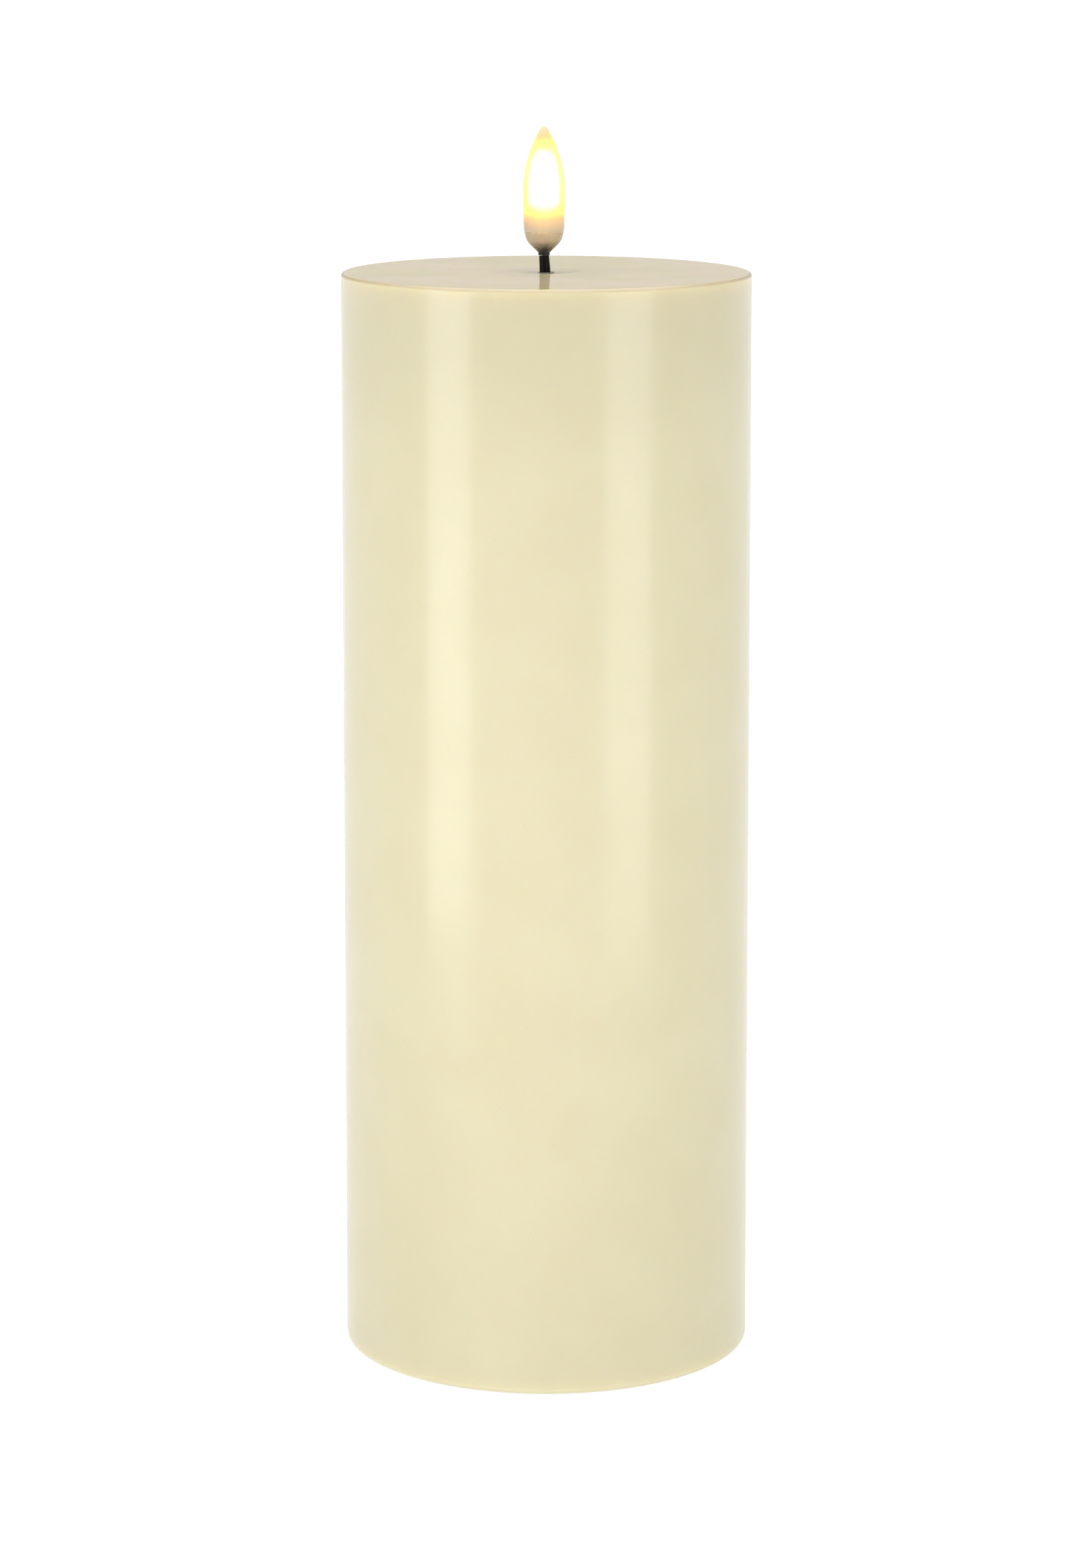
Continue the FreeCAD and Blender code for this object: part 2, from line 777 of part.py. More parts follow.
def make_base_housing():
    body = new_body("base_housing")
    inner = d.skirt_radius - d.skirt_wall
    outline = [
        (ZERO, d.flange_low),
        (d.flange_radius, d.flange_low),
        (d.flange_radius, flange_high),
        (d.skirt_radius, flange_high),
        (d.skirt_radius, d.skirt_high),
        (inner, d.skirt_high),
        (inner, flange_high),
        (ZERO, flange_high),
    ]
    revolve(body, "housing_turned", outline)
    chamfer(body, "flange_edge", d.flange_chamfer, lambda e: is_ring(e, d.flange_radius, d.flange_low))

    rib_centre = d.skirt_radius + d.crush_rib_reach - d.crush_rib_radius
    rib = pad(body, "crush_rib", [disc(rib_centre, ZERO, d.crush_rib_radius)], flange_high, d.skirt_high)
    ribs = body.newObject("PartDesign::PolarPattern", "crush_ribs")
    ribs.Originals = [rib]
    ribs.Axis = (next(item for item in body.Origin.OriginFeatures if item.Role == "Z_Axis"), [""])
    ribs.Angle = FULL_TURN
    bind(ribs, "Occurrences", d.crush_rib_count)
    body.Tip = ribs
    doc.recompute()

    walls = rounded(-bay_outer_x, bay_outer_x, -bay_outer_y, bay_outer_y, d.bay_corner)
    pad(body, "bay_walls", [walls], flange_high, bay_top, corner_arcs(d.bay_corner))
    for side in SIDES:
        boss = disc(d.screw_x * side, d.switch_y, d.boss_radius)
        pad(body, f"board_boss_{side_name(side)}", [boss], flange_high, d.board_low)
        across = centred(d.gusset_half_thick, d.gusset_side_reach, d.gusset_side_x * side)
        pad(body, f"side_gusset_{side_name(side)}", [across], flange_high, d.gusset_high)
        middle = d.gusset_mid_x * side
        rib = rectangle(middle - d.gusset_half_thick, middle + d.gusset_half_thick, ZERO, d.gusset_mid_reach)
        pad(body, f"mid_gusset_{side_name(side)}", [rib], flange_high, d.gusset_high)

    latch_y = d.latch_window_half_width
    box_y = latch_y + d.latch_box_wall
    latch_box = rectangle(d.latch_box_x, -d.bay_half_length, -box_y, box_y)
    pad(body, "latch_box", [latch_box], flange_high, d.latch_window_high + d.latch_box_wall)

    pocket(body, "bay", [centred(d.bay_half_length, d.bay_half_width)], d.flange_low, d.bay_high)
    ridge = centred(d.bay_ridge_half_length, d.bay_ridge_half_width)
    pad(body, "bay_ridge", [ridge], d.bay_high - d.bay_ridge_height, d.bay_high)
    corner = d.door_corner + d.door_gap
    rebate = rounded(-door_end, d.bay_half_length, -door_side, door_side, corner)
    rebate_high = door_high + d.rebate_headroom
    pocket(body, "door_rebate", [rebate], d.flange_low, rebate_high, corner_arcs(corner))

    notch_x, notch_y = d.latch_notch_x, d.latch_notch_half_width
    notch = rectangle(notch_x, d.latch_root_x + d.overrun, -notch_y, notch_y)
    pocket(body, "latch_notch", [notch], d.flange_low, flange_high)
    scoop_y = d.latch_scoop_half_width
    scoop = rectangle(d.latch_scoop_x, notch_x + d.overrun, -scoop_y, scoop_y)
    pocket(body, "latch_scoop", [scoop], d.flange_low, d.flange_low + d.latch_scoop_depth)
    window = rectangle(-d.flange_radius, d.latch_window_x, -latch_y, latch_y)
    pocket(body, "latch_window", [window], flange_high, d.latch_window_high)

    hook_end = d.door_swing_x + d.hook_reach + d.hook_pocket_gap
    slot_left = d.bay_half_length - d.plate_thick - d.tab_slot_gap
    slot_half = d.tab_half_width + d.tab_slot_gap
    for side in SIDES:
        far = (d.hook_outer + d.hook_pocket_gap) * side
        near = (d.hook_outer - d.hook_width - d.hook_pocket_gap) * side
        hook = rectangle(d.bay_half_length - d.overrun, hook_end, far, near)
        pocket(body, f"hook_pocket_{side_name(side)}", [hook], d.hook_pocket_low, d.hook_pocket_high)
        slot_front = d.cell_pitch_half * side - slot_half
        slot_back = d.cell_pitch_half * side + slot_half
        slot = rectangle(slot_left, d.bay_half_length + d.tab_slot_back, slot_front, slot_back)
        pocket(body, f"tab_slot_{side_name(side)}", [slot], d.bay_high, bay_top)
        bore = disc(d.screw_x * side, d.switch_y, d.boss_bore)
        pocket(body, f"boss_bore_{side_name(side)}", [bore], d.screw_low - d.screw_end_gap, d.board_low)

    dish = centred(d.dish_half_length, d.dish_half_width, ZERO, d.switch_y)
    pocket(body, "switch_dish", [dish], d.flange_low, d.flange_low + d.dish_depth)
    slot = centred(knob_slot_half, d.knob_half_width + d.slot_gap, ZERO, d.switch_y)
    pocket(body, "switch_slot", [slot], d.flange_low + d.dish_depth, flange_high)


# ---------------------------------------------------------------- battery door and latch

bend_inner = d.latch_bend_outer - d.latch_leg_thick
latch_left = d.latch_pivot_x - d.latch_bend_outer
latch_foot_z = d.flange_low - d.latch_grip_height


def make_battery_door():
    body = new_body("battery_door")
    side = door_side - d.door_gap
    left = -(door_end - d.door_gap)
    right = d.bay_half_length - d.door_gap
    panel = rounded(left, right, -side, side, d.door_corner)
    pad(body, "door_panel", [panel], d.flange_low, door_high, corner_arcs(d.door_corner))

    root, pivot_x, pivot_z = d.latch_root_x, d.latch_pivot_x, d.latch_pivot_z
    root_lap = left + d.latch_root_lap
    spring = [
        (root_lap, d.flange_low),
        (root - d.latch_leg_thick, d.flange_low),
        (root - d.latch_leg_thick, pivot_z),
        (pivot_x, pivot_z + bend_inner),
        (pivot_x - bend_inner, pivot_z),
        (latch_left, pivot_z),
        (pivot_x, pivot_z + d.latch_bend_outer),
        (root, pivot_z),
        (root, door_high),
        (root_lap, door_high),
    ]
    arcs = {2: bend_inner, 3: bend_inner, 5: -d.latch_bend_outer, 6: -d.latch_bend_outer}
    pad_across(body, "latch_spring", [spring], -d.latch_half_width, d.latch_half_width, arcs)

    neck_right = d.door_swing_x - d.door_gap
    hook_low = d.hook_pocket_low + d.hook_gap
    hook_high = door_high + d.hook_rise
    hook = [
        (neck_right - d.hook_thick, door_high - d.hook_root),
        (neck_right, door_high - d.hook_root),
        (neck_right, hook_low),
        (d.door_swing_x + d.hook_reach, hook_low),
        (d.door_swing_x + d.hook_reach, hook_high),
        (neck_right - d.hook_thick, hook_high),
    ]
    inner = d.hook_outer - d.hook_width
    pad_across(body, "hook_back", [hook], inner, d.hook_outer)
    pad_across(body, "hook_front", [hook], -d.hook_outer, -inner)

    ribs = []
    grooves = []
    for step in ROW_OF_THREE:
        ribs.append(centred(d.door_rib_half_thick, d.door_rib_half_length, d.door_rib_pitch * step))
        x = d.door_groove_x + d.door_groove_pitch * step
        grooves.append(centred(d.door_groove_half_width, d.door_groove_half_length, x))
    pad(body, "door_ribs", ribs, door_high - d.overrun, door_high + d.door_rib_height)
    pocket(body, "door_grooves", grooves, d.flange_low, d.flange_low + d.door_groove_depth)


def make_door_latch():
    """The outer leg of the door's sprung latch, with the catch and the part a fingertip presses."""
    body = new_body("door_latch")
    thick = d.latch_leg_thick
    leg = [
        (d.latch_foot_x, latch_foot_z),
        (d.latch_foot_x + thick, latch_foot_z),
        (d.latch_foot_x + thick, d.flange_low),
        (latch_left + thick, d.latch_pivot_z),
        (latch_left, d.latch_pivot_z),
        (d.latch_foot_x, d.flange_low),
    ]
    pad_across(body, "latch_leg", [leg], -d.latch_half_width, d.latch_half_width)
    catch_x = d.latch_notch_x - d.latch_catch_depth
    flat_high = d.latch_catch_low + d.latch_catch_flat
    catch = [
        (latch_left + d.overrun, d.latch_catch_low),
        (latch_left + d.overrun, flat_high + d.latch_catch_ramp),
        (latch_left - d.latch_catch_lip, flat_high + d.latch_catch_ramp),
        (catch_x, flat_high),
        (catch_x, d.latch_catch_low),
    ]
    half = d.latch_catch_half_width
    pad_across(body, "latch_catch", [catch], -half, half)


# ---------------------------------------------------------------- cells and contacts

plate_inner = d.bay_half_length - d.plate_thick
nub_tip = plate_inner - d.plate_dimple_rise
cell_base = d.cell_length - nub_tip


def turn_to(thing, side):
    """Lays an upright piece down, with its top towards +X (side 1) or -X (side -1)."""
    thing.Placement.Rotation = FreeCAD.Rotation(Vector(0, 1, 0), 90 * side)


def make_cell(label, side):
    """An AA cell on the +Y side (side 1) or the -Y side (side -1); its nub points the same way along X."""
    body = new_body(label)
    top = d.cell_length - d.cell_nub_length
    outline = [
        (ZERO, ZERO),
        (d.cell_base_radius, ZERO),
        (d.cell_base_radius, d.cell_base_dish),
        (d.cell_radius, d.cell_base_dish),
        (d.cell_radius, top),
        (d.cell_nub_radius, top),
        (d.cell_nub_radius, d.cell_length),
        (ZERO, d.cell_length),
    ]
    revolve(body, label + "_turned", outline)
    turn_to(body, side)
    place(body, cell_base * -side, d.cell_pitch_half * side, d.cell_z)


def make_plate(label, outlines, dimple_y, side):
    """A sheet contact on the end wall of the bay, with a dimple if dimple_y is given."""
    body = new_body(label)
    inner = plate_inner * side
    outer = d.bay_half_length * side
    low, high = (inner, outer) if side > 0 else (outer, inner)
    for number, outline in enumerate(outlines, start=1):
        pad_along(body, f"{label}_sheet_{number}", [outline], low, high)
    if dimple_y is None:
        return
    tip = nub_tip * side
    low, high = (tip, inner) if side > 0 else (inner, tip)
    pad_along(body, label + "_dimple", [disc(dimple_y, d.cell_z, d.plate_dimple_radius)], low, high)


def make_spring(label, side, y):
    """A conical coil that stands on the plate at the +X end (side 1) or the -X end (side -1)."""
    path = doc.addObject("Part::Helix", label + "_path")
    path.SegmentLength = HELIX_SEGMENT
    bind(path, "Pitch", d.spring_turn_pitch)
    bind(path, "Height", plate_inner - cell_base - d.spring_wire_radius * 2)
    bind(path, "Radius", d.spring_base_radius)
    bind(path, "Angle", -d.spring_cone_angle)
    ring = doc.addObject("Part::Circle", label + "_ring")
    ring.Placement.Rotation = FreeCAD.Rotation(Vector(1, 0, 0), 90)
    bind(ring, "Radius", d.spring_wire_radius)
    bind(ring, "Placement.Base.x", d.spring_base_radius)
    coil = doc.addObject("Part::Sweep", label + "_coil")
    coil.Sections = [ring]
    coil.Spine = (path, [])
    coil.Solid = True
    coil.Frenet = True
    spring = name_part(group(label, [coil]), label)
    turn_to(spring, -side)
    place(spring, (plate_inner - d.spring_wire_radius) * side, y, d.cell_z)


def make_contacts():
    pitch = d.cell_pitch_half
    half = d.plate_half_width
    for label, side in (("positive_terminal", 1), ("negative_terminal", -1)):
        middle = pitch * side
        sheet = rectangle(middle - half, middle + half, d.plate_low, d.plate_high)
        tab_half = d.tab_half_width
        tab_low = d.plate_high - d.tab_root_lap
        tab = rectangle(middle - tab_half, middle + tab_half, tab_low, d.tab_high)
        make_plate(label, [sheet, tab], middle if side > 0 else None, 1)
    bridge = rectangle(-(pitch + half), pitch + half, d.plate_low, d.plate_high)
    make_plate("jumper_plate", [bridge], -pitch, -1)
    make_spring("negative_spring", 1, -pitch)
    make_spring("jumper_spring", -1, pitch)


# ---------------------------------------------------------------- slide switch

pin_places = [d.pin_pitch * step for step in ROW_OF_FOUR]


def make_switch():
    y = d.switch_y
    wall = d.switch_frame_wall
    body = new_body("switch_frame")
    can = centred(d.switch_half_length, d.switch_half_width, ZERO, y)
    pad(body, "frame_can", [can], d.switch_frame_low, d.switch_frame_high)
    hollow = centred(d.switch_half_length - wall, d.switch_half_width - wall, ZERO, y)
    pocket(body, "frame_hollow", [hollow], d.switch_frame_low + wall, d.switch_frame_high)
    slot = centred(knob_slot_half, d.knob_half_width + d.slot_gap, ZERO, y)
    pocket(body, "frame_slot", [slot], d.switch_frame_low, d.switch_frame_low + wall)

    body = new_body("switch_base")
    inset = wall + d.switch_plate_gap
    plate = centred(d.switch_half_length - inset, d.switch_half_width - inset, ZERO, y)
    plate_low = d.switch_frame_high - d.switch_plate_thick
    holes = [disc(x, y, d.pin_radius + d.pin_gap) for x in pin_places]
    pad(body, "switch_plate", [plate, *holes], plate_low, d.switch_frame_high)

    pins = [rod(f"pin_{n}", d.pin_radius, plate_low, d.pin_high, x, y) for n, x in enumerate(pin_places)]
    name_part(group("pins", pins), "switch_pins")

    body = new_body("switch_knob")
    slider = centred(d.slider_half_length, d.slider_half_width, d.knob_rest_x, y)
    pad(body, "slider", [slider], d.slider_low, d.slider_high)
    lever = centred(d.knob_half_length, d.knob_half_width, d.knob_rest_x, y)
    pad(body, "lever", [lever], d.knob_low, d.slider_low + d.lever_root)
    grooves = []
    for side in SIDES:
        x = d.knob_rest_x + d.knob_groove_x * side
        grooves.append(centred(d.knob_groove_half_width, d.knob_half_width + d.overrun, x, y))
    pocket(body, "lever_grooves", grooves, d.knob_low, d.knob_low + d.knob_groove_depth)

    wiper_high = d.slider_high + d.wiper_thick
    left = d.knob_rest_x - d.wiper_half_length
    right = d.knob_rest_x + d.wiper_half_length
    front, back = y - d.wiper_half_width, y + d.wiper_half_width
    name_part(block("wiper", left, right, front, back, d.slider_high, wiper_high), "switch_wiper")


# ---------------------------------------------------------------- timer board

battery_pads = [d.battery_pad_x, d.battery_pad_x + d.battery_pad_gap]
lamp_pads = [-d.lamp_pad_x, -d.lamp_pad_x - d.lamp_pad_gap]


def make_board():
    y = d.switch_y
    body = new_body("control_board")
    holes = [disc(d.screw_x * side, y, d.board_hole) for side in SIDES]
    gap = d.board_pad_gap
    holes += [disc(x, y, d.pin_radius + gap) for x in pin_places]
    holes += [disc(x, d.wire_pad_y, d.battery_wire_radius + gap) for x in battery_pads]
    holes += [disc(x, d.wire_pad_y, d.lamp_wire_radius + gap) for x in lamp_pads]
    edge = rectangle(-d.board_half_length, d.board_half_length, d.board_front, d.board_back)
    pad(body, "board_sheet", [edge, *holes], d.board_low, board_high)

    screws = []
    for side in SIDES:
        x = d.screw_x * side
        name = f"screw_{side_name(side)}"
        head_high = board_high + d.screw_head_height
        head = rod(name + "_head", d.screw_head_radius, board_high, head_high, x, y)
        shank_high = board_high + d.overrun
        shank = rod(name + "_shank", d.screw_radius, d.screw_low, shank_high, x, y)
        cross = []
        for turn, (half_x, half_y) in enumerate((CROSS, CROSS[::-1])):
            edges = (x - half_x, x + half_x, y - half_y, y + half_y)
            low = head_high - d.screw_cross_depth
            cross.append(block(f"{name}_cross_{turn}", *edges, low, head_high + d.overrun))
        solid = fuse(name + "_solid", [head, shank])
        screws.append(cut(name, solid, fuse(name + "_recess", cross)))
    name_part(group("screws", screws), "board_screws")


def make_board_parts():
    y = d.switch_y
    chip_low = board_high + d.chip_gap
    half_x, half_y = d.chip_half_length, d.chip_half_width
    edges = (d.chip_x - half_x, d.chip_x + half_x, y - half_y, y + half_y)
    name_part(block("chip", *edges, chip_low, chip_low + d.chip_height), "timer_chip")

    legs = []
    thick = d.chip_leg_thick
    shoulder = board_high + d.chip_leg_high
    for number, step in enumerate(ROW_OF_FOUR):
        x = d.chip_x + d.chip_leg_pitch * step
        left, right = x - d.chip_leg_half_width, x + d.chip_leg_half_width
        for side in SIDES:
            root = y + half_y * side
            bend = root + d.chip_leg_knee * side
            toe = root + d.chip_leg_reach * side
            inner_bend = bend - thick * side
            spans = [
                (root, bend, shoulder - thick, shoulder),
                (inner_bend, bend, board_high, shoulder),
                (inner_bend, toe, board_high, board_high + thick),
            ]
            bits = []
            for part_number, (start, finish, low, high) in enumerate(spans):
                front, back = (start, finish) if side > 0 else (finish, start)
                bit_name = f"leg_{number}_{side_name(side)}_{part_number}"
                bits.append(block(bit_name, left, right, front, back, low, high))
            legs.append(fuse(f"leg_{number}_{side_name(side)}", bits))
    name_part(group("legs", legs), "timer_chip_legs")

    crystal_z = board_high + d.crystal_radius
    right = d.crystal_x + d.crystal_length
    name_part(lying_rod("can", d.crystal_radius, d.crystal_x, right, d.crystal_y, crystal_z), "crystal")

    body = new_body("capacitor")
    radius, groove = d.capacitor_radius, d.capacitor_groove
    groove_z = board_high + d.capacitor_groove_z
    top = board_high + d.capacitor_height
    outline = [
        (ZERO, board_high),
        (radius, board_high),
        (radius, groove_z - groove),
        (radius - groove, groove_z),
        (radius, groove_z + groove),
        (radius, top),
        (ZERO, top),
    ]
    revolve(body, "capacitor_turned", outline)
    place(body, d.capacitor_x, y)

    resistors = []
    for number, step in enumerate(ROW_OF_THREE):
        x = d.resistor_pitch * step
        half_x, half_y = d.resistor_half_length, d.resistor_half_width
        edges = (x - half_x, x + half_x, d.resistor_y - half_y, d.resistor_y + half_y)
        resistors.append(block(f"resistor_{number}", *edges, board_high, board_high + d.resistor_height))
    name_part(group("resistors", resistors), "chip_resistors")


# ---------------------------------------------------------------- wires


def rounded_path(points):
    """Straight runs through the points, joined by arcs that meet them smoothly."""
    edges = []
    start = points[0]
    for before, corner, after in zip(points, points[1:], points[2:]):
        back = (before - corner).normalize()
        ahead = (after - corner).normalize()
        half_turn = (math.pi - back.getAngle(ahead)) / 2
        shorter = min((before - corner).Length, (after - corner).Length)
        radius = BEND_SHARE * shorter / math.tan(half_turn)
        trim = radius * math.tan(half_turn)
        first = corner + back * trim
        last = corner + ahead * trim
        inward = (back + ahead).normalize()
        centre = corner + inward * (radius / math.cos(half_turn))
        middle = centre - inward * radius
        if (first - start).Length > SHORTEST_RUN:
            edges.append(Part.LineSegment(start, first).toShape())
        edges.append(Part.Arc(first, middle, last).toShape())
        start = last
    edges.append(Part.LineSegment(start, points[-1]).toShape())
    return Part.Wire(edges)


def make_wire(label, radius, points):
    """A round wire along the points, checked against its section times its length."""
    path = rounded_path(points)
    start = path.Edges[0]
    ring = Part.Circle(points[0], start.tangentAt(start.FirstParameter), radius.value)
    solid = path.makePipeShell([Part.Wire([ring.toShape()])], True, False)
    expected = math.pi * radius.value**2 * path.Length
    if abs(solid.Volume - expected) > VOLUME_TOLERANCE * expected:
        raise RuntimeError(f"{label} has a volume of {solid.Volume:.3f}, not {expected:.3f}")
    wire = doc.addObject("Part::Feature", label)
    wire.Shape = solid
    wire.Placement = FreeCAD.Placement()
    name_part(wire, label)


def spot(x, y, z):
    return Vector(as_size(x).value, as_size(y).value, as_size(z).value)


def make_wires():
    low = d.board_low + d.wire_end_rise
    pad_y = d.wire_pad_y
    run_z = d.tab_high - d.wire_tab_drop
    tab_face = plate_inner - d.wire_tab_gap
    turns = ((d.battery_turn_red, 1), (d.battery_turn_black, -1))
    for label, (turn_x, side), pad_x in zip(("battery_wire_red", "battery_wire_black"), turns, battery_pads):
        y = d.cell_pitch_half * side
        points = [
            spot(tab_face, y, run_z),
            spot(turn_x, y, run_z),
            spot(pad_x, pad_y, run_z),
            spot(pad_x, pad_y, low),
        ]
        make_wire(label, d.battery_wire_radius, points)

    for label, pad_x, side in zip(("lamp_wire_red", "lamp_wire_black"), lamp_pads, (1, -1)):
        offset = d.lead_spacing * side
        top = d.lead_low - d.lamp_wire_end_gap
        entry = d.sleeve_low - d.lamp_wire_entry
        points = [
            spot(pad_x, pad_y, low),
            spot(pad_x, pad_y, d.lamp_wire_rise),
            spot(lean_x(d.lamp_wire_gather) + d.lamp_wire_spread * side, ZERO, d.lamp_wire_gather),
            spot(lean_x(d.sleeve_low) + offset, ZERO, entry),
            spot(lean_x(top) + offset, ZERO, top),
        ]
        make_wire(label, d.lamp_wire_radius, points)


# ---------------------------------------------------------------- build and export

make_wax_shell()
make_wick_bush()
make_wick_sleeve()
make_lamp_holder()
make_flame_cup()
make_flame_lens()
make_lamp()
make_base_housing()
make_battery_door()
make_door_latch()
make_cell("aa_cell_back", 1)
make_cell("aa_cell_front", -1)
make_contacts()
make_switch()
make_board()
make_board_parts()
make_wires()
doc.recompute()

for thing in doc.Objects:
    troubles = [state for state in thing.State if state in ("Invalid", "Error")]
    if troubles:
        raise RuntimeError(f"{thing.Name} is {troubles}")
    shape = getattr(thing, "Shape", None)
    if shape is not None and (shape.isNull() or not shape.isValid()):
        raise RuntimeError(f"{thing.Name} has no valid shape")

os.makedirs("parts", exist_ok=True)
for item in subparts:
    item.Shape.exportStep(f"parts/{item.Label}.step")
    box = item.Shape.BoundBox
    print(f"{item.Label:20} {len(item.Shape.Solids):2d} solids {item.Shape.Volume:10.2f} mm3", box)
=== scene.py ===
import bpy
import bmesh
import math
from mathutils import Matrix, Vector, noise


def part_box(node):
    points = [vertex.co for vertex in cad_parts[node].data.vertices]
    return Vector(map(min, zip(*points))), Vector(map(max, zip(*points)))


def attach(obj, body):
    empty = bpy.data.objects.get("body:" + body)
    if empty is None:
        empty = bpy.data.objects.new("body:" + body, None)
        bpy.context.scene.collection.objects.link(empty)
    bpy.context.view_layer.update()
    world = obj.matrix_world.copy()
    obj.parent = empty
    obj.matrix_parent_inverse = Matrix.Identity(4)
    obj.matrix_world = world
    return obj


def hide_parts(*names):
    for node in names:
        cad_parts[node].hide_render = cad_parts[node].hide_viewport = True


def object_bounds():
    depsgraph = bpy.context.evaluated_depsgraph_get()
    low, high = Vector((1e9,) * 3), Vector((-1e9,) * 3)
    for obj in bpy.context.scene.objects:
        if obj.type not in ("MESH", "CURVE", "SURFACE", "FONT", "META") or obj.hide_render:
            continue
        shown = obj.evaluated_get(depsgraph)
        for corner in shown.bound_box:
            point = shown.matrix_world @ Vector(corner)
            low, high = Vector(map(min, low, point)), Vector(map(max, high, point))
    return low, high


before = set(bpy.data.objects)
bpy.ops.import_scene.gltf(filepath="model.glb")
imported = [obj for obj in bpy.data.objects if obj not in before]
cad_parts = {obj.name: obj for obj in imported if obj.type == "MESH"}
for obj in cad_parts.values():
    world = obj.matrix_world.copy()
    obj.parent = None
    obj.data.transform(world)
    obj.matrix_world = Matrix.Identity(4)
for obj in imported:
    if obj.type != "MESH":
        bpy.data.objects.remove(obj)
cad_low, cad_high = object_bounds()

MM = 0.001
FULL_TURN = 2 * math.pi
SHARP_ANGLE = math.radians(38)
WHITE = (1.0, 1.0, 1.0)
BLACK = (0.0, 0.0, 0.0)


# ---------------------------------------------------------------- material nodes


class Finish:
    """A procedural material: one Principled shader, and short calls that add the nodes behind it.

    Places are the piece's own coordinates, in metres. A value can be a number or another node's output.
    """

    def __init__(self, name, **plain):
        self.material = bpy.data.materials.new(name)
        self.material.use_nodes = True
        self.tree = self.material.node_tree
        self.tree.nodes.clear()
        self.shader = self.tree.nodes.new("ShaderNodeBsdfPrincipled")
        output = self.tree.nodes.new("ShaderNodeOutputMaterial")
        self.tree.links.new(self.shader.outputs["BSDF"], output.inputs["Surface"])
        self.place = self.tree.nodes.new("ShaderNodeTexCoord").outputs["Object"]
        self.x, self.y, self.z = self.node("ShaderNodeSeparateXYZ", {"Vector": self.place}).outputs
        self.set(**plain)

    def feed(self, socket, value):
        if isinstance(value, bpy.types.NodeSocket):
            self.tree.links.new(value, socket)
        elif socket.type == "RGBA" and len(value) == 3:
            socket.default_value = (*value, 1.0)
        else:
            socket.default_value = value

    def node(self, kind, inputs=None, **settings):
        made = self.tree.nodes.new(kind)
        for name, value in settings.items():
            setattr(made, name, value)
        for key, value in (inputs or {}).items():
            self.feed(made.inputs[key], value)
        return made

    def set(self, **values):
        """Feeds the shader: colour=, roughness=, and any other socket by its name in lower case."""
        for name, value in values.items():
            title = "Base Color" if name == "colour" else name.replace("_", " ").title()
            title = title.replace("Ior", "IOR")
            self.feed(self.shader.inputs[title], value)

    def math(self, operation, first, second=0.0, third=0.0):
        inputs = {0: first, 1: second, 2: third}
        return self.node("ShaderNodeMath", inputs, operation=operation).outputs[0]

    def span(self, value, low, high, start=0.0, end=1.0, smooth=True):
        """Turns the range low..high into start..end."""
        inputs = {"Value": value, "From Min": low, "From Max": high, "To Min": start, "To Max": end}
        kind = "SMOOTHSTEP" if smooth else "LINEAR"
        return self.node("ShaderNodeMapRange", inputs, interpolation_type=kind).outputs[0]

    def stretched(self, along):
        return self.node("ShaderNodeMapping", {"Vector": self.place, "Scale": along}).outputs[0]

    def grain(self, size, detail=3.0, stretch=(1, 1, 1), twist=0.0):
        """Soft noise between 0 and 1, whose spots are about this many metres across."""
        inputs = {"Vector": self.stretched(stretch), "Scale": 1 / size, "Detail": detail, "Distortion": twist}
        return self.node("ShaderNodeTexNoise", inputs).outputs["Fac"]

    def cells(self, size):
        """The distance to the middle of the nearest of many cells, each about this many metres across."""
        inputs = {"Vector": self.place, "Scale": 1 / size}
        return self.node("ShaderNodeTexVoronoi", inputs, feature="F1").outputs["Distance"]

    def stripes(self, value, pitch, width):
        """1 on lines this wide that repeat every pitch along value, and 0 between them."""
        off = self.math("PINGPONG", value, pitch / 2)
        return self.span(off, width * 0.4, width * 0.6, 1.0, 0.0)

    def blend(self, share, first, second):
        """The first colour where share is 0 and the second where it is 1."""
        made = self.node("ShaderNodeMix", data_type="RGBA", blend_type="MIX")
        for key, value in ((0, share), (6, first), (7, second)):
            self.feed(made.inputs[key], value)
        return made.outputs[2]

    def stops(self, value, *pairs):
        """A colour band along value: pairs of a place from 0 to 1 and a colour."""
        made = self.node("ShaderNodeValToRGB", {"Fac": value})
        band = made.color_ramp
        while len(band.elements) < len(pairs):
            band.elements.new(0.5)
        for element, (at, colour) in zip(band.elements, pairs):
            element.position = at
            element.color = (*colour, 1.0)
        return made.outputs["Color"]

    def bump(self, height, depth):
        """Adds relief: height from 0 to 1 stands for depth metres."""
        inputs = {"Height": height, "Distance": depth, "Strength": 1.0}
        self.set(normal=self.node("ShaderNodeBump", inputs).outputs["Normal"])


# ---------------------------------------------------------------- wax

WAX_LIGHT = (0.635, 0.590, 0.402)
WAX_DEEP = (0.620, 0.572, 0.382)
WAX_FLECK = (0.53, 0.47, 0.29)
WAX_RIM_SHADE = (0.49, 0.42, 0.30)
WAX_TOP_LIT = (0.83, 0.70, 0.47)
WAX_POOL_LIT = (0.78, 0.69, 0.41)
WAX_WICK_SHADE = (0.16, 0.13, 0.08)
CAP_SHADE_DEPTH = 0.05  # how much darker the side is painted just under the top: painted shade where less light reaches it
WICK_SHADE_START, WICK_SHADE_END = 1.5 * MM, 2.3 * MM  # the ring of painted shade round the wick's base
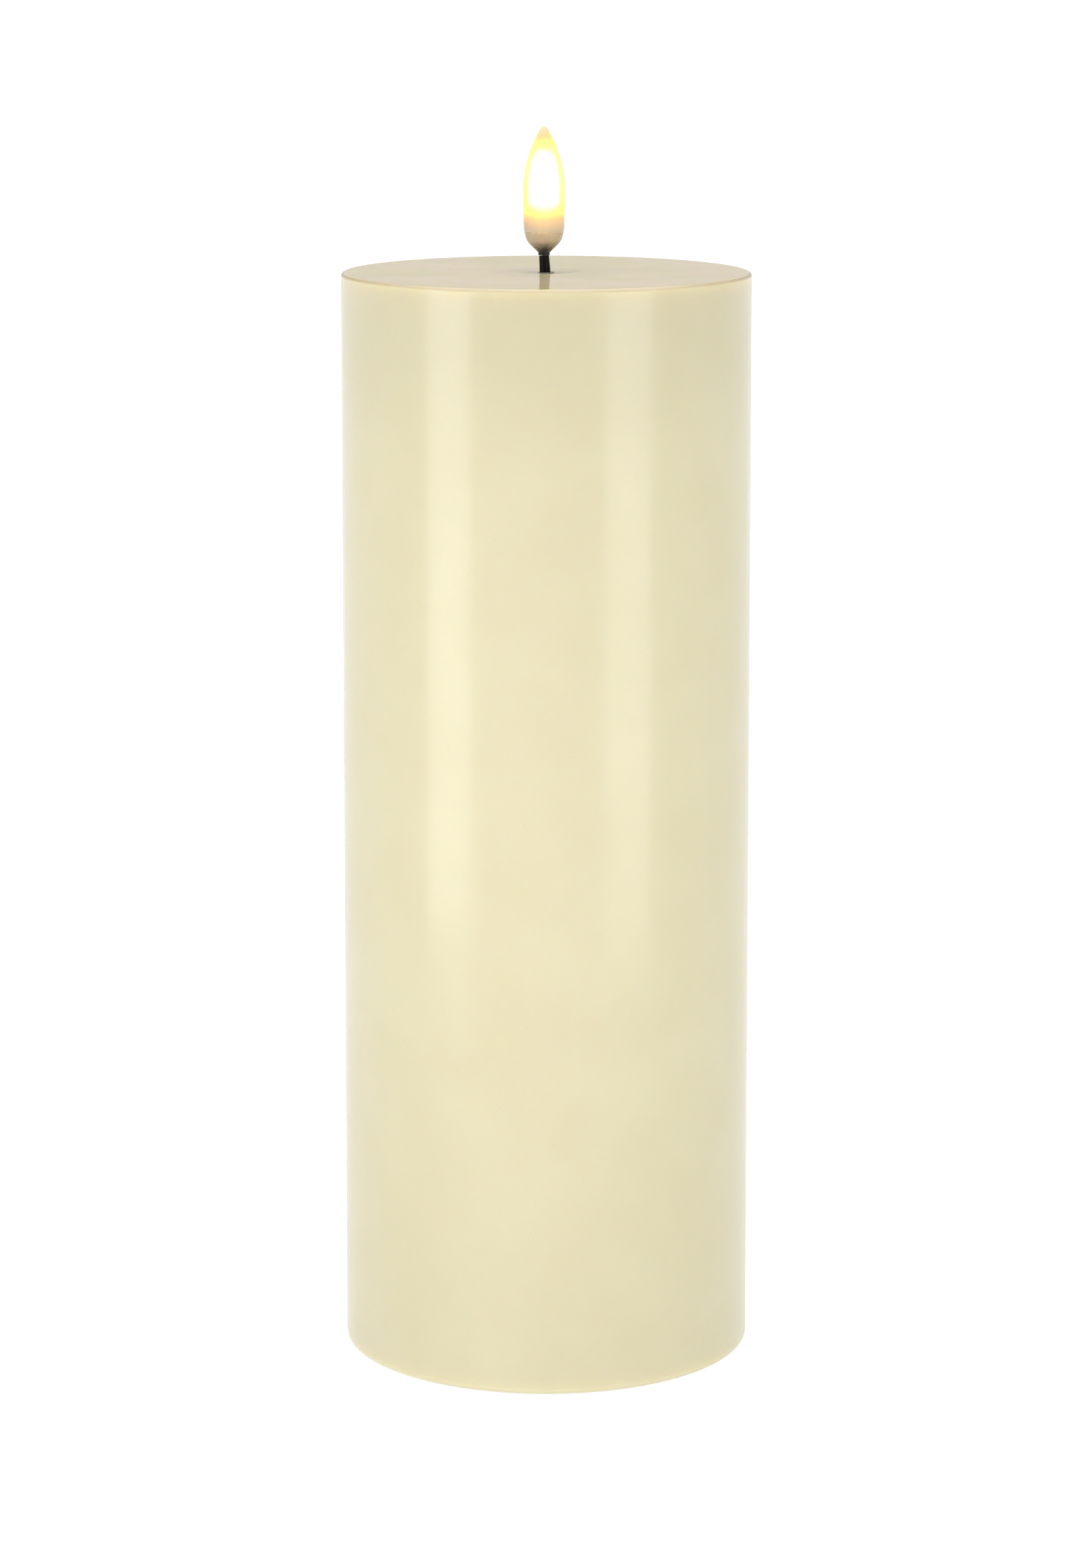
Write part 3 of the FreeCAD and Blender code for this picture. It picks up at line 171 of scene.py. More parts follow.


def wax_finish(top_z):
    """Ivory wax: faint clouds and flecks, painted shade on the side just under the top and on the rim, a
    pinker and glossier top that is painted lighter than the side, and a ring of painted shade round the wick.
    """
    f = Finish("wax", subsurface_weight=0.7, subsurface_scale=0.006, subsurface_radius=(1.0, 0.7, 0.4))
    f.set(specular_ior_level=0.55)
    cloud = f.span(f.grain(0.016, 4.0), 0.3, 0.7)
    colour = f.blend(cloud, WAX_LIGHT, WAX_DEEP)
    flecks = f.span(f.cells(0.0042), 0.03, 0.06, 0.35, 0.0)
    colour = f.blend(flecks, colour, WAX_FLECK)
    # Painted shade: the side is painted darker towards the top, where less light reaches it.
    cap = f.span(f.z, top_z - 34 * MM, top_z - 6 * MM)
    colour = f.blend(f.math("MULTIPLY", cap, CAP_SHADE_DEPTH), colour, BLACK)
    facing = f.node("ShaderNodeSeparateXYZ", {"Vector": f.node("ShaderNodeTexCoord").outputs["Normal"]})
    # Painted shade: the rounded rim, where the normal turns from the side to the top, is painted darker to
    # tone down its bright line.
    rim_shade = f.span(facing.outputs["Z"], 0.1, 0.6)
    colour = f.blend(rim_shade, colour, WAX_RIM_SHADE)
    on_top = f.span(facing.outputs["Z"], 0.94, 0.995)
    # The top face is a pinker, lit copy of the wax: painted lighter than the side to make up for how light
    # falls on it. Its pools are random tone.
    pools = f.span(f.grain(0.022, 2.0, (1, 0.7, 1), 0.4), 0.4, 0.6)
    colour = f.blend(on_top, colour, f.blend(pools, WAX_TOP_LIT, WAX_POOL_LIT))
    flat = f.node("ShaderNodeCombineXYZ", {"X": f.x, "Y": f.y}).outputs[0]
    from_wick = f.node("ShaderNodeVectorMath", {0: flat}, operation="LENGTH").outputs["Value"]
    from_wick = f.math("ADD", from_wick, f.math("MULTIPLY", f.grain(0.0015), 0.7 * MM))
    # A ring of painted shade round the wick's base, where the wick stands in the wax.
    wick_shade = f.span(from_wick, WICK_SHADE_START, WICK_SHADE_END, 0.75, 0.0)
    f.set(colour=f.blend(wick_shade, colour, WAX_WICK_SHADE))
    smear = f.grain(0.012, 5.0, (1, 1, 0.35), 0.6)
    side_gloss = f.span(smear, 0.25, 0.75, 0.17, 0.24)
    top_gloss = f.span(smear, 0.25, 0.75, 0.04, 0.09)
    f.set(roughness=f.math("MULTIPLY_ADD", on_top, f.math("SUBTRACT", top_gloss, side_gloss), side_gloss))
    f.bump(f.grain(0.0008, 3.0), 0.004 * MM)
    return f.material


def lathe(name, outline, turns, nudge=None):
    """Turns a closed outline of (radius, height) points about the upright axis. nudge(angle, radius, height)
    moves a point. A point on the axis becomes one vertex."""
    points, faces, rings = [], [], []
    for radius, height in outline:
        if radius == 0:
            rings.append([len(points)] * turns)
            points.append(Vector((0, 0, height)))
            continue
        ring = []
        for step in range(turns):
            angle = FULL_TURN * step / turns
            r, z = nudge(angle, radius, height) if nudge else (radius, height)
            ring.append(len(points))
            points.append(Vector((r * math.cos(angle), r * math.sin(angle), z)))
        rings.append(ring)
    for lower, upper in zip(rings, rings[1:] + rings[:1]):
        if lower[0] == lower[1] and upper[0] == upper[1]:
            continue
        for step in range(turns):
            after = (step + 1) % turns
            corners = [lower[step], lower[after], upper[after], upper[step]]
            faces.append(list(dict.fromkeys(corners)))
    mesh = bpy.data.meshes.new(name)
    mesh.from_pydata(points, [], faces)
    work = bmesh.new()
    work.from_mesh(mesh)
    bmesh.ops.recalc_face_normals(work, faces=work.faces)
    work.to_mesh(mesh)
    work.free()
    piece = bpy.data.objects.new(name, mesh)
    bpy.context.collection.objects.link(piece)
    return piece


def smooth(piece):
    """Shades the piece smooth, apart from edges that turn more than SHARP_ANGLE."""
    piece.data.shade_smooth()
    piece.data.set_sharp_from_angle(angle=SHARP_ANGLE)
    return piece


def spread(start, end, count):
    """Points along a straight line, without its end."""
    return [tuple(a + (b - a) * n / count for a, b in zip(start, end)) for n in range(count)]


def round_corner(centre, radius, first, last, count):
    """Points along an arc, angles in degrees from the radius direction."""
    points = []
    for n in range(count + 1):
        angle = math.radians(first + (last - first) * n / count)
        points.append((centre[0] + radius * math.cos(angle), centre[1] + radius * math.sin(angle)))
    return points


def bow(start, end, radius, count):
    """Points along a rising arc that swells away from the axis, without its end."""
    start, end = Vector(start), Vector(end)
    half = (end - start) / 2
    sideways = Vector((-half.y, half.x)).normalized()
    centre = start + half + sideways * math.sqrt(radius**2 - half.length_squared)
    first = math.atan2(start.y - centre.y, start.x - centre.x)
    last = math.atan2(end.y - centre.y, end.x - centre.x)
    angles = [first + (last - first) * n / count for n in range(count)]
    return [(centre.x + radius * math.cos(a), centre.y + radius * math.sin(a)) for a in angles]


def make_wax():
    """The hollow pillar. Its outline runs from the wick's hole over the top, down the side and up inside."""
    low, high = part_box("wax_shell")
    bush_low, bush_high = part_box("wick_bush")
    radius = (high.x - low.x) / 2 - 0.01 * MM
    top = high.z
    cavity_radius, seat_radius, seat_high = 33 * MM, 34.6 * MM, 4 * MM
    ceiling = bush_low.z + 1.6 * MM
    bush_radius, bush_end = 2.5 * MM, bush_high.z + 0.1 * MM
    hole = 1.3 * MM
    shoulder, foot, lip = 0.7 * MM, 1.2 * MM, 0.12 * MM
    fine_top = 7 * MM  # the part of the top, out from the wick, that has close rings for its dimple
    seat_bevel, seat_step = 0.1 * MM, MM
    dimple_depth, dimple_reach = 0.16 * MM, 1.7 * MM
    ring_height, ring_place, ring_width = 0.05 * MM, 4.2 * MM, 1.1 * MM
    top_swell, side_swell = 0.04 * MM, 0.03 * MM
    outline = [(hole, bush_end)]
    outline += round_corner((hole + lip, top - lip), lip, 180, 90, 4)
    outline += spread((hole + 2 * lip, top), (fine_top, top), 24)
    outline += spread((fine_top, top), (radius - shoulder, top), 60)
    outline += round_corner((radius - shoulder, top - shoulder), shoulder, 90, 0, 8)
    outline += spread((radius, top - 1.5 * shoulder), (radius, 1.5 * foot), 150)
    outline += round_corner((radius - foot, low.z + foot), foot, 0, -90, 8)
    outline += [(seat_radius + seat_bevel, low.z), (seat_radius, low.z + seat_bevel)]
    outline += [(seat_radius, seat_high), (cavity_radius, seat_high)]
    outline += spread((cavity_radius, seat_high + seat_step), (cavity_radius, ceiling), 24)
    outline += [(cavity_radius, ceiling), (bush_radius, ceiling), (bush_radius, bush_end)]

    def hand_made(angle, r, z):
        """A dimple and a low ring round the wick, an uneven top, and a side that isn't quite round."""
        x, y = r * math.cos(angle), r * math.sin(angle)
        if z > top - shoulder / 2 and r > hole + lip / 2:
            out = r - hole
            dimple = -dimple_depth * math.exp(-((out / dimple_reach) ** 2))
            dimple += ring_height * math.exp(-(((out - ring_place) / ring_width) ** 2))
            swell = top_swell * (noise.noise(Vector((x, y, 0.3)) * 60) - 0.9)
            fade = min(1.0, (radius - r) / (2 * MM))
            return r, z + dimple + swell * fade
        if r > radius - foot and z > low.z + foot / 2:
            wave = noise.noise(Vector((math.cos(angle), math.sin(angle), z * 14)) * 2.2)
            wave += 0.4 * noise.noise(Vector((math.cos(angle), math.sin(angle), z * 40)) * 6)
            fade = min(1.0, (z - low.z) / (6 * MM), (top - z + 0.2 * MM) / (4 * MM))
            return r - side_swell * (1 + wave) * fade, z
        return r, z

    piece = smooth(lathe("wax_pillar", outline, 384, hand_made))
    piece.data.materials.append(wax_finish(top))
    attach(piece, "candle")
    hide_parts("wax_shell")


# ---------------------------------------------------------------- flame bulb

LAMP_GLOW = 22.0
BULB_WALL = 0.7 * MM


def bulb_finish(name, low_z, high_z):
    """Frosted plastic, painted dark at its neck as painted shade where the black holder shows through, that
    lets the lamp's light through and glows with it.
    """
    f = Finish(name, transmission_weight=0.55, ior=1.3, specular_ior_level=0.4)
    along = f.span(f.z, low_z, high_z, smooth=False)
    mist = f.span(f.grain(0.0012, 3.0, (1, 1, 0.3)), 0.3, 0.7, -0.012, 0.012, smooth=False)
    along = f.math("ADD", along, mist)
    # The first stops paint the neck dark: painted shade of the black holder behind the wall.
    body = f.stops(
        along, (0.0, (0.09, 0.075, 0.06)), (0.03, (0.12, 0.105, 0.085)), (0.055, (0.42, 0.36, 0.31)),
        (0.09, (0.74, 0.67, 0.61)), (0.17, (0.76, 0.71, 0.64)), (0.23, (0.80, 0.71, 0.60)),
        (0.30, (0.97, 0.77, 0.45)), (0.37, (1.0, 0.86, 0.38)), (0.82, (1.0, 0.88, 0.42)),
        (0.90, (0.97, 0.72, 0.47)), (1.0, (0.90, 0.68, 0.56)),
    )
    glow = f.stops(
        along, (0.19, BLACK), (0.26, (0.08, 0.03, 0.005)), (0.34, (0.30, 0.24, 0.02)),
        (0.78, (0.34, 0.30, 0.06)), (0.84, (0.17, 0.10, 0.01)), (0.89, (0.03, 0.005, 0.0)), (1.0, BLACK),
    )
    streaks = f.span(f.grain(0.0007, 2.0, (1, 1, 0.04)), 0.4, 0.7, 0.0, 0.1)
    streaks = f.math("MULTIPLY", streaks, f.span(along, 0.25, 0.45, 1.0, 0.0))
    body = f.blend(streaks, body, WHITE)
    f.set(roughness=f.span(along, 0.10, 0.30, 0.22, 0.5))
    f.set(colour=body, emission_color=glow, emission_strength=1.0)
    f.bump(f.grain(0.0005, 2.0), 0.01 * MM)
    return f.material


def glow_finish(low_z, high_z):
    """The lit air inside the bulb: brightest above the middle of its height."""
    f = Finish("lamp_glow", colour=(0.05, 0.04, 0.03), roughness=1.0, specular_ior_level=0.0)
    along = f.span(f.z, low_z, high_z, smooth=False)
    level = f.stops(
        along, (0.0, (0.10, 0.07, 0.02)), (0.05, (0.25, 0.19, 0.09)), (0.1, (0.42, 0.36, 0.23)),
        (0.2, (0.7, 0.63, 0.46)), (0.4, (0.95, 0.88, 0.69)), (0.7, (1.0, 0.93, 0.72)),
        (0.87, (0.5, 0.43, 0.28)), (0.95, (0.12, 0.08, 0.03)), (1.0, (0.02, 0.01, 0.0)),
    )
    f.set(emission_color=level, emission_strength=LAMP_GLOW)
    return f.material


def make_bulb():
    """The flame bulb: a bowl and a pointed bullet, both hollow, that meet in a fine seam."""
    low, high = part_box("flame_lens")
    neck_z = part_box("flame_cup")[0].z
    seam_z, belly = low.z, (high.x - low.x) / 2
    wall, gap = BULB_WALL, 0.02 * MM
    seam, shoulder, shoulder_rise, shoulder_arc = 3.46 * MM, 3.7 * MM, 1.1 * MM, 3.4 * MM
    belly_rise, ogive, tip, inner_tip = 7.9 * MM, 21.4 * MM, 0.42 * MM, 0.2 * MM
    tip_low, tip_high = 0.15 * MM, 0.36 * MM
    bore, neck, bowl, bowl_rise, bowl_arc = 0.88 * MM, 1.16 * MM, 2.5 * MM, 1.36 * MM, 3.1 * MM
    bore_rise, floor_thickness = 1.12 * MM, 0.42 * MM

    def bullet(inset, tip_radius):
        """The lens's outline, from its seam to near its tip, moved inwards by inset."""
        radius = ogive - inset
        swell = ogive - belly
        tip_z = seam_z + belly_rise + math.sqrt(radius**2 - (swell + tip_radius) ** 2)
        shoulder_point = (shoulder - inset, seam_z + shoulder_rise)
        belly_point = (belly - inset, seam_z + belly_rise)
        side = bow((seam - inset, seam_z), shoulder_point, shoulder_arc - inset, 8)
        side += spread(shoulder_point, belly_point, 16)
        return side + bow(belly_point, (tip_radius, tip_z), radius, 48)

    outside = bullet(0.0, tip)
    outside[0] = (seam, seam_z + gap)
    tip_z = outside[-1][1]
    crown = [(tip, tip_z + tip_low), (0.6 * tip, tip_z + 2 * tip_low), (0, tip_z + tip_high)]
    inside = bullet(wall, inner_tip)
    inside[0] = (seam - wall, seam_z + gap)
    outline = outside[:-1] + crown + [(0, inside[-1][1])] + inside[::-1][1:]
    lens = lathe("flame_bulb", outline, 96)

    bowl_z = neck_z + bowl_rise
    outside = [(bore, neck_z)] + spread((neck, neck_z), (bowl, bowl_z), 8)
    outside += bow((bowl, bowl_z), (seam, seam_z), bowl_arc, 16)
    outside.append((seam, seam_z))
    inner_z = bowl_z + floor_thickness
    inside = bow((bowl - wall, inner_z), (seam - wall, seam_z), bowl_arc - wall, 12)
    inside = [(bore, neck_z + bore_rise)] + inside + [(seam - wall, seam_z)]
    cup = lathe("flame_bowl", outside + inside[::-1], 96)

    for piece, node in ((lens, "flame_lens"), (cup, "flame_cup")):
        smooth(piece)
        piece.location.x = (low.x + high.x) / 2
        piece.data.materials.append(bulb_finish("flame_plastic", neck_z, high.z))
        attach(piece, "candle")
        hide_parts(node)


def make_glow():
    """A spindle of light inside the bulb, above the lamp and clear of the wall."""
    low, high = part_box("flame_lens")
    _, lamp_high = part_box("led_lamp")
    start, end = lamp_high.z + 0.1 * MM, low.z + 0.81 * (high.z - low.z)
    widest = 0.88 * ((high.x - low.x) / 2 - BULB_WALL)
    steps, round_end, belly, end_taper = 40, 0.16, 0.36, 0.78
    outline = [(0, start)]
    for n in range(1, steps):
        share = n / steps
        rounding = math.sqrt(min(1.0, share / round_end))
        taper = 1.0 - end_taper * max(0.0, (share - belly) / (1 - belly)) ** 1.9
        outline.append((widest * rounding * taper, start + (end - start) * share))
    outline.append((0, end))
    piece = smooth(lathe("lamp_glow", outline, 48))
    piece.location.x = (low.x + high.x) / 2
    piece.data.materials.append(glow_finish(start, end))
    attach(piece, "candle")


# ---------------------------------------------------------------- finishes of the CAD pieces


def dress(finish, *names):
    """Puts one material in every slot of these CAD pieces."""
    for name in names:
        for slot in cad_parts[name].material_slots:
            slot.material = finish


def moulded(name, light, dark, gloss, texture=0.35, depth=0.012, **plain):
    """Moulded plastic: faint cloudiness, a fine spark-eroded texture (mm) and uneven gloss."""
    f = Finish(name, **plain)
    f.set(colour=f.blend(f.span(f.grain(0.012, 4.0), 0.3, 0.7), light, dark))
    f.set(roughness=f.span(f.grain(0.006, 3.0), 0.3, 0.7, gloss - 0.06, gloss + 0.08))
    f.bump(f.grain(texture * MM, 2.0), depth * MM)
    return f.material


def metal(name, colour, gloss, stretch=(1, 1, 1)):
    """Bare or plated metal with drawn or rolled marks and a little tarnish."""
    f = Finish(name, metallic=1.0)
    marks = f.grain(0.0004, 4.0, stretch)
    stain = f.span(f.grain(0.004, 4.0), 0.5, 0.75, 0.0, 0.6)
    worked = f.blend(marks, colour, [0.86 * channel for channel in colour])
    f.set(colour=f.blend(stain, worked, [0.6 * channel for channel in colour]))
    f.set(roughness=f.span(marks, 0.3, 0.7, gloss - 0.08, gloss + 0.12))
    f.bump(marks, 0.006 * MM)
    return f.material


def sheath(name, light, dark):
    """A wire's soft insulation: faint draw lines and a dusty, uneven gloss."""
    f = Finish(name, specular_ior_level=0.45)
    dust = f.span(f.grain(0.003, 4.0), 0.55, 0.8, 0.0, 0.3)
    colour = f.blend(f.grain(0.0008, 3.0), light, dark)
    f.set(colour=f.blend(dust, colour, (0.35, 0.33, 0.30)))
    f.set(roughness=f.span(dust, 0.0, 0.3, 0.32, 0.5))
    f.bump(f.grain(0.0005, 2.0), 0.01 * MM)
    return f.material


def sleeve_finish():
    """The wick's black shrink tube: lengthwise wrinkles and a soft sheen."""
    f = Finish("wick_black", specular_ior_level=0.10)
    wrinkles = f.grain(0.0009, 3.0, (1, 1, 0.22))
    f.set(colour=f.blend(wrinkles, (0.003, 0.0025, 0.002), (0.012, 0.009, 0.007)))
    f.set(roughness=f.span(wrinkles, 0.3, 0.7, 0.2, 0.36))
    f.bump(wrinkles, 0.05 * MM)
    return f.material


def lamp_finish():
    """The lit lamp: clear epoxy, warm and bright round its chip, dim at its flange."""
    low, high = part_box("led_lamp")
    f = Finish("lamp_epoxy", transmission_weight=0.7, ior=1.5, specular_ior_level=0.5)
    along = f.span(f.z, low.z, high.z, smooth=False)
    along = f.math("ADD", along, f.span(f.grain(0.0008), 0.0, 1.0, -0.04, 0.04))
    f.set(colour=f.stops(along, (0.0, (0.8, 0.62, 0.36)), (0.4, (1.0, 0.88, 0.6)), (1.0, (1.0, 0.94, 0.78))))
    glow = f.stops(along, (0.1, (0.02, 0.01, 0.0)), (0.55, (1.0, 0.72, 0.3)), (1.0, (0.7, 0.42, 0.12)))
    f.set(emission_color=glow, emission_strength=0.3, roughness=f.span(f.grain(0.001), 0.3, 0.7, 0.08, 0.18))
    f.bump(f.grain(0.0006, 2.0), 0.01 * MM)
    return f.material


def cell_finish(name, flat_end, button_end):
    """An AA cell: bare steel ends and a dark printed jacket with a copper band at the button."""
    f = Finish(name, specular_ior_level=0.5)
    along = f.span(f.x, flat_end, button_end, smooth=False)
    jacket = f.stops(
        along, (0.0, (0.020, 0.024, 0.034)), (0.66, (0.026, 0.030, 0.042)), (0.67, (0.75, 0.70, 0.62)),
        (0.68, (0.62, 0.25, 0.09)), (0.96, (0.56, 0.21, 0.07)),
    )
    scuffs = f.span(f.grain(0.0015, 5.0, (0.15, 1, 1)), 0.58, 0.78, 0.0, 0.45)
    jacket = f.blend(scuffs, jacket, (0.30, 0.29, 0.28))
    low_end = f.span(along, 0.006, 0.010, 1.0, 0.0)
    high_end = f.span(along, 0.968, 0.972)
    bare = f.math("MAXIMUM", low_end, high_end)
    f.set(colour=f.blend(bare, jacket, (0.66, 0.63, 0.58)), metallic=f.math("MAXIMUM", bare, 0.35))
    gloss = f.span(f.grain(0.003), 0.3, 0.7, 0.2, 0.32)
    f.set(roughness=f.math("ADD", gloss, f.math("MULTIPLY", scuffs, 0.4)))
    f.bump(f.grain(0.0006, 3.0), 0.01 * MM)
    return f.material


def board_finish():
    """Green solder mask, paler and raised where copper tracks run under it."""
    f = Finish("board_green", specular_ior_level=0.5)
    along_x = f.stripes(f.y, 0.9 * MM, 0.34 * MM)
    along_y = f.stripes(f.x, 1.1 * MM, 0.34 * MM)
    turn = f.span(f.grain(0.007, 1.0), 0.48, 0.50)
    tracks = f.math("MULTIPLY_ADD", turn, f.math("SUBTRACT", along_x, along_y), along_y)
    mask = f.blend(f.grain(0.003, 3.0), (0.010, 0.075, 0.030), (0.016, 0.095, 0.040))
    f.set(colour=f.blend(tracks, mask, (0.035, 0.19, 0.07)))
    f.set(roughness=f.span(f.grain(0.002, 2.0), 0.3, 0.7, 0.24, 0.36))
    f.bump(f.math("MULTIPLY_ADD", f.grain(0.0003, 2.0), 0.15, tracks), 0.03 * MM)
    return f.material


def chip_finish():
    """Black moulded epoxy with a sandy grain and a round mark at its first leg."""
    low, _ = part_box("timer_chip")
    f = Finish("chip_black", specular_ior_level=0.4)
    inset, mark_radius, mark_edge = 0.7 * MM, 0.28 * MM, 0.34 * MM
    corner = (low.x + inset, low.y + inset, 0.0)
    flat = f.node("ShaderNodeCombineXYZ", {"X": f.x, "Y": f.y}).outputs[0]
    reach = f.node("ShaderNodeVectorMath", {0: flat, 1: corner}, operation="DISTANCE").outputs["Value"]
    mark = f.span(reach, mark_radius, mark_edge, 1.0, 0.0)
    sand = f.grain(0.00012, 3.0)
    body = f.blend(sand, (0.012, 0.012, 0.013), (0.03, 0.03, 0.031))
    f.set(colour=f.blend(mark, body, (0.008, 0.008, 0.008)))
    f.set(roughness=f.math("MULTIPLY_ADD", mark, -0.3, f.span(sand, 0.2, 0.8, 0.55, 0.75)))
    f.bump(f.math("SUBTRACT", f.math("MULTIPLY", sand, 0.3), mark), 0.03 * MM)
    return f.material


def capacitor_finish():
    """A shrink sleeve with a pale stripe down its negative side, and the bare can's top."""
    low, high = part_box("capacitor")
    radius = (high.x - low.x) / 2
    f = Finish("capacitor_sleeve", specular_ior_level=0.5)
    side = f.span(f.x, low.x + 0.28 * radius, low.x + 0.32 * radius, 1.0, 0.0)
    dashes = f.stripes(f.z, 1.6 * MM, 0.7 * MM)
    dashes = f.math("MULTIPLY", dashes, f.stripes(f.y, 4.0 * MM, 2.2 * MM))
    stripe = f.blend(f.math("MULTIPLY", dashes, 0.8), (0.45, 0.47, 0.50), (0.05, 0.05, 0.07))
    sleeve = f.blend(f.grain(0.002, 4.0), (0.012, 0.014, 0.045), (0.02, 0.022, 0.06))
    top = f.span(f.z, high.z - 0.12 * MM, high.z - 0.06 * MM)
    f.set(colour=f.blend(top, f.blend(side, sleeve, stripe), (0.78, 0.78, 0.79)), metallic=top)
    f.set(roughness=f.span(f.grain(0.001, 3.0), 0.3, 0.7, 0.22, 0.34))
    f.bump(f.grain(0.0007, 2.0), 0.01 * MM)
    return f.material


def resistor_finish():
    """Black chip resistors with tinned ends."""
    spacing = 3.0 * MM
    f = Finish("resistor_body", specular_ior_level=0.5)
    from_middle = f.math("PINGPONG", f.x, spacing / 2)
    tinned = f.span(from_middle, 0.50 * MM, 0.54 * MM)
    speck = f.grain(0.0002, 3.0)
    body = f.blend(speck, (0.012, 0.012, 0.013), (0.03, 0.03, 0.034))
    f.set(colour=f.blend(tinned, body, (0.70, 0.70, 0.69)), metallic=tinned)
    f.set(roughness=f.span(speck, 0.3, 0.7, 0.3, 0.45))
    f.bump(speck, 0.01 * MM)
    return f.material


def dress_frame():
    """Gives every CAD piece that stays in the picture its finish."""
    ivory = moulded("ivory_plastic", (0.80, 0.75, 0.62), (0.76, 0.70, 0.56), 0.42, specular_ior_level=0.5)
    dress(ivory, "base_housing", "battery_door", "door_latch", "wick_bush")
    dress(sleeve_finish(), "wick_sleeve")
    blacks = (0.012, 0.011, 0.011), (0.022, 0.020, 0.019)
    black = moulded("black_plastic", *blacks, 0.3, depth=0.02, specular_ior_level=0.3)
    dress(black, "lamp_holder", "switch_knob")
    dress(lamp_finish(), "led_lamp")
    dress(metal("lead_wire", (0.75, 0.73, 0.70), 0.3), "led_leads", "timer_chip_legs", "switch_pins")
    nickel = metal("contact_nickel", (0.72, 0.68, 0.60), 0.28, (1, 1, 0.1))
    dress(nickel, "positive_terminal", "negative_terminal", "jumper_plate")
    dress(nickel, "negative_spring", "jumper_spring", "switch_wiper")
    for name in ("aa_cell_back", "aa_cell_front"):
        low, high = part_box(name)
        ends = (low.x, high.x) if name == "aa_cell_back" else (high.x, low.x)
        dress(cell_finish(name + "_jacket", *ends), name)
    dress(metal("switch_steel", (0.60, 0.60, 0.58), 0.34, (0.1, 1, 1)), "switch_frame")
    laminate = moulded("switch_laminate", (0.055, 0.026, 0.012), (0.085, 0.042, 0.020), 0.5, texture=0.6)
    dress(laminate, "switch_base")
    dress(board_finish(), "control_board")
    dress(metal("screw_zinc", (0.62, 0.61, 0.56), 0.3), "board_screws")
    dress(chip_finish(), "timer_chip")
    dress(metal("crystal_can", (0.78, 0.77, 0.75), 0.16, (0.15, 1, 1)), "crystal")
    dress(capacitor_finish(), "capacitor")
    dress(resistor_finish(), "chip_resistors")
    red_wire = sheath("wire_red", (0.50, 0.016, 0.012), (0.36, 0.010, 0.008))
    dress(red_wire, "battery_wire_red", "lamp_wire_red")
    black_wire = sheath("wire_black", (0.012, 0.012, 0.012), (0.022, 0.021, 0.020))
    dress(black_wire, "battery_wire_black", "lamp_wire_black")


make_wax()
make_bulb()
make_glow()
dress_frame()


# ---------------------------------------------------------------- stage, camera and light


def make_floor():
    """A white floor, bright enough to show as white. It can't be seen from below. It lies off centre, so
    that the line between its two triangles doesn't run under the candle."""
    reach, off_centre = 40.0, 8.0
    mesh = bpy.data.meshes.new("floor")
    near, far = off_centre - reach, off_centre + reach
    corners = [(-reach, near, 0), (reach, near, 0), (reach, far, 0), (-reach, far, 0)]
    mesh.from_pydata(corners, [], [(0, 1, 2, 3)])
    floor = bpy.data.objects.new("floor", mesh)
    bpy.context.collection.objects.link(floor)
    floor.location.z = cad_low.z - 0.02 * MM
    f = Finish("floor_white", colour=(0.16, 0.16, 0.16), roughness=0.6, emission_color=WHITE)
    f.set(emission_strength=0.88, specular_ior_level=0.0)
    clear = f.node("ShaderNodeBsdfTransparent").outputs["BSDF"]
    under = f.node("ShaderNodeNewGeometry").outputs["Backfacing"]
    sides = f.node("ShaderNodeMixShader", {0: under, 1: f.shader.outputs["BSDF"], 2: clear})
    f.tree.links.new(sides.outputs[0], f.tree.nodes["Material Output"].inputs["Surface"])
    mesh.materials.append(f.material)


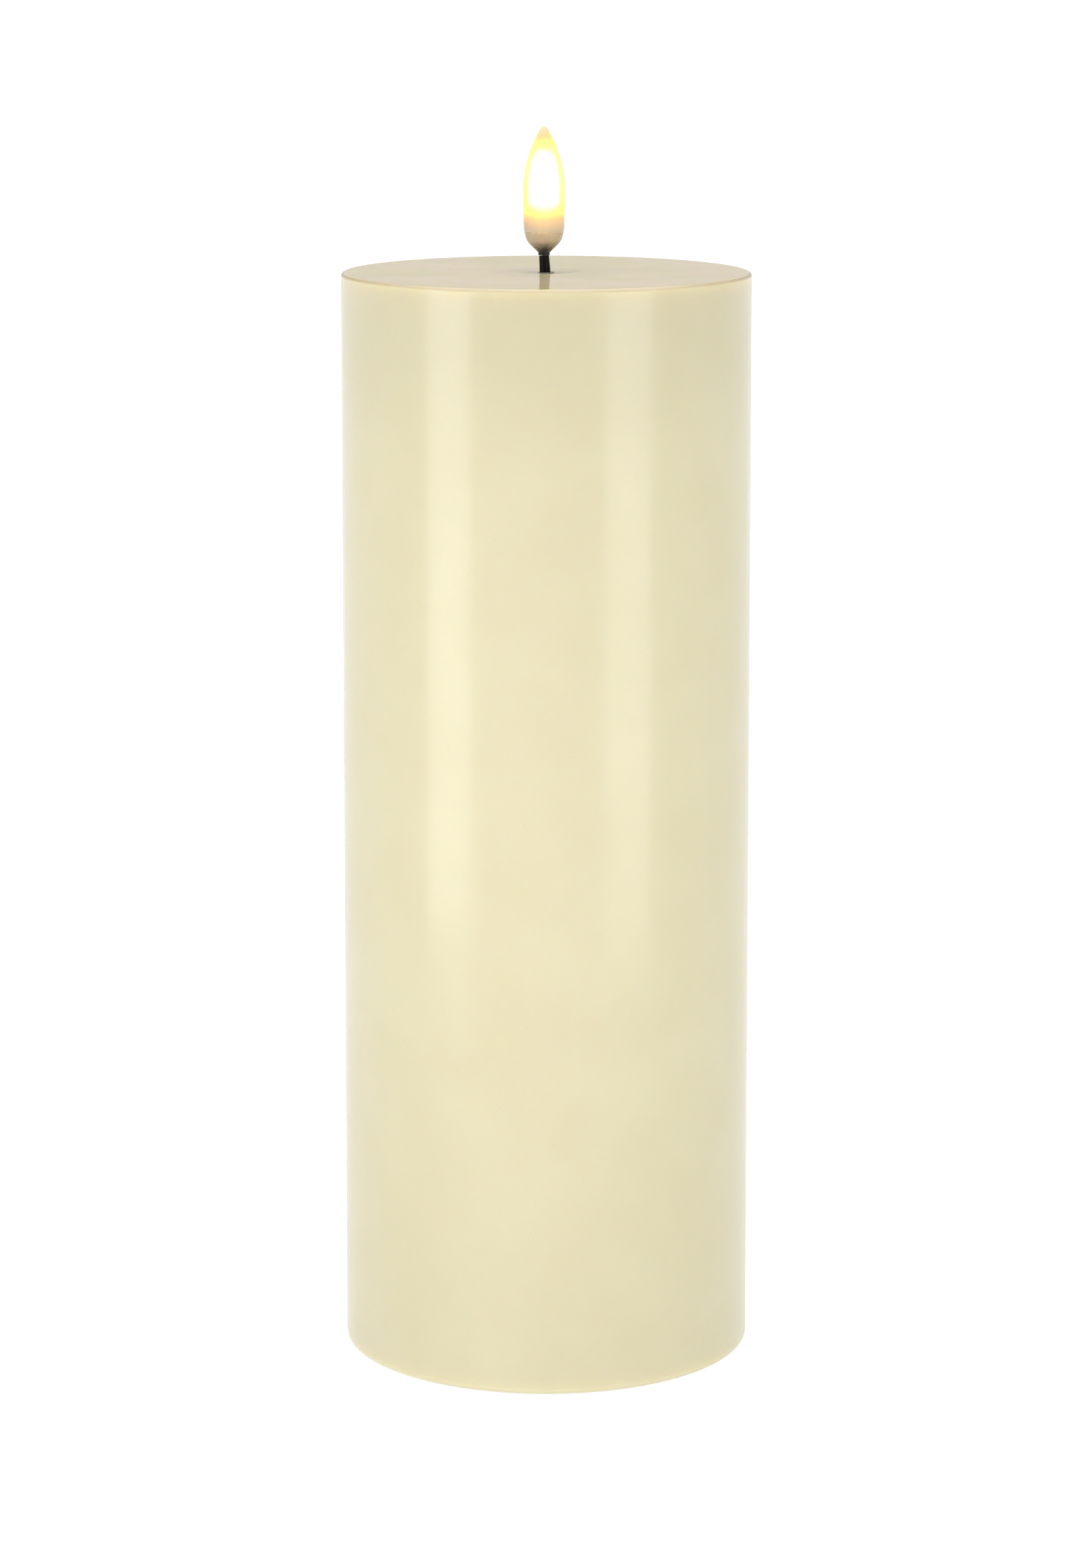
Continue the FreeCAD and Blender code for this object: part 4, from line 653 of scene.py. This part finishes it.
def make_camera():
    """Looks from the front and a little above, with a lens shift that keeps the sides near parallel."""
    data = bpy.data.cameras.new("camera")
    camera = bpy.data.objects.new("camera", data)
    bpy.context.collection.objects.link(camera)
    tilt_down = 0.14
    camera.location = (-0.81 * MM, -818.4 * MM, 269.2 * MM)
    camera.rotation_euler = (math.pi / 2 - tilt_down, 0, 0)
    data.sensor_width = 36.0
    data.lens = 103.2
    data.shift_y = -0.167
    data.clip_start, data.clip_end = 0.02, 100
    bpy.context.scene.camera = camera


def softbox(name, azimuth, distance, high, width, radiance, low=0.02, mirrored=True):
    """An upright soft light that faces the candle, azimuth degrees to the right of the camera, from low to
    high metres. It shows in reflections only if it is mirrored."""
    data = bpy.data.lights.new(name, "AREA")
    data.shape = "RECTANGLE"
    data.size, data.size_y = width, high - low
    data.energy = radiance * math.pi * width * (high - low)
    light = bpy.data.objects.new(name, data)
    light.visible_camera = False
    light.visible_glossy = mirrored
    bpy.context.collection.objects.link(light)
    turn = math.radians(azimuth)
    light.location = (distance * math.sin(turn), -distance * math.cos(turn), (low + high) / 2)
    light.rotation_euler = (math.pi / 2, 0, turn)


def make_light():
    """Two soft lights that draw the bands of light on the side, a fill, and a sky with a bright zenith."""
    softbox("softbox_left", azimuth=-53, distance=0.30, high=0.235, width=0.135, radiance=2.5)
    softbox("softbox_right", azimuth=44, distance=0.30, high=0.235, width=0.135, radiance=1.95)
    softbox("fill_front", azimuth=-6, distance=0.24, high=0.16, width=0.20, radiance=1.5, mirrored=False)
    world = bpy.data.worlds.new("studio")
    bpy.context.scene.world = world
    world.use_nodes = True
    tree = world.node_tree
    direction = tree.nodes.new("ShaderNodeTexCoord").outputs["Generated"]
    parts = tree.nodes.new("ShaderNodeSeparateXYZ")
    tree.links.new(direction, parts.inputs[0])
    sky = tree.nodes.new("ShaderNodeValToRGB")
    horizon, between, zenith = 0.47, 0.06, 2.7
    levels = ((0.0, horizon), (0.18, horizon), (0.3, between), (0.62, between), (0.82, zenith))
    while len(sky.color_ramp.elements) < len(levels):
        sky.color_ramp.elements.new(0.5)
    for element, (height, level) in zip(sky.color_ramp.elements, levels):
        element.position = height
        element.color = (level, level, level, 1.0)
    tree.links.new(parts.outputs["Z"], sky.inputs["Fac"])
    tree.links.new(sky.outputs["Color"], tree.nodes["Background"].inputs["Color"])
    view = bpy.context.scene.view_settings
    view.view_transform = "Standard"
    view.exposure = 0.0


make_floor()
make_camera()
make_light()
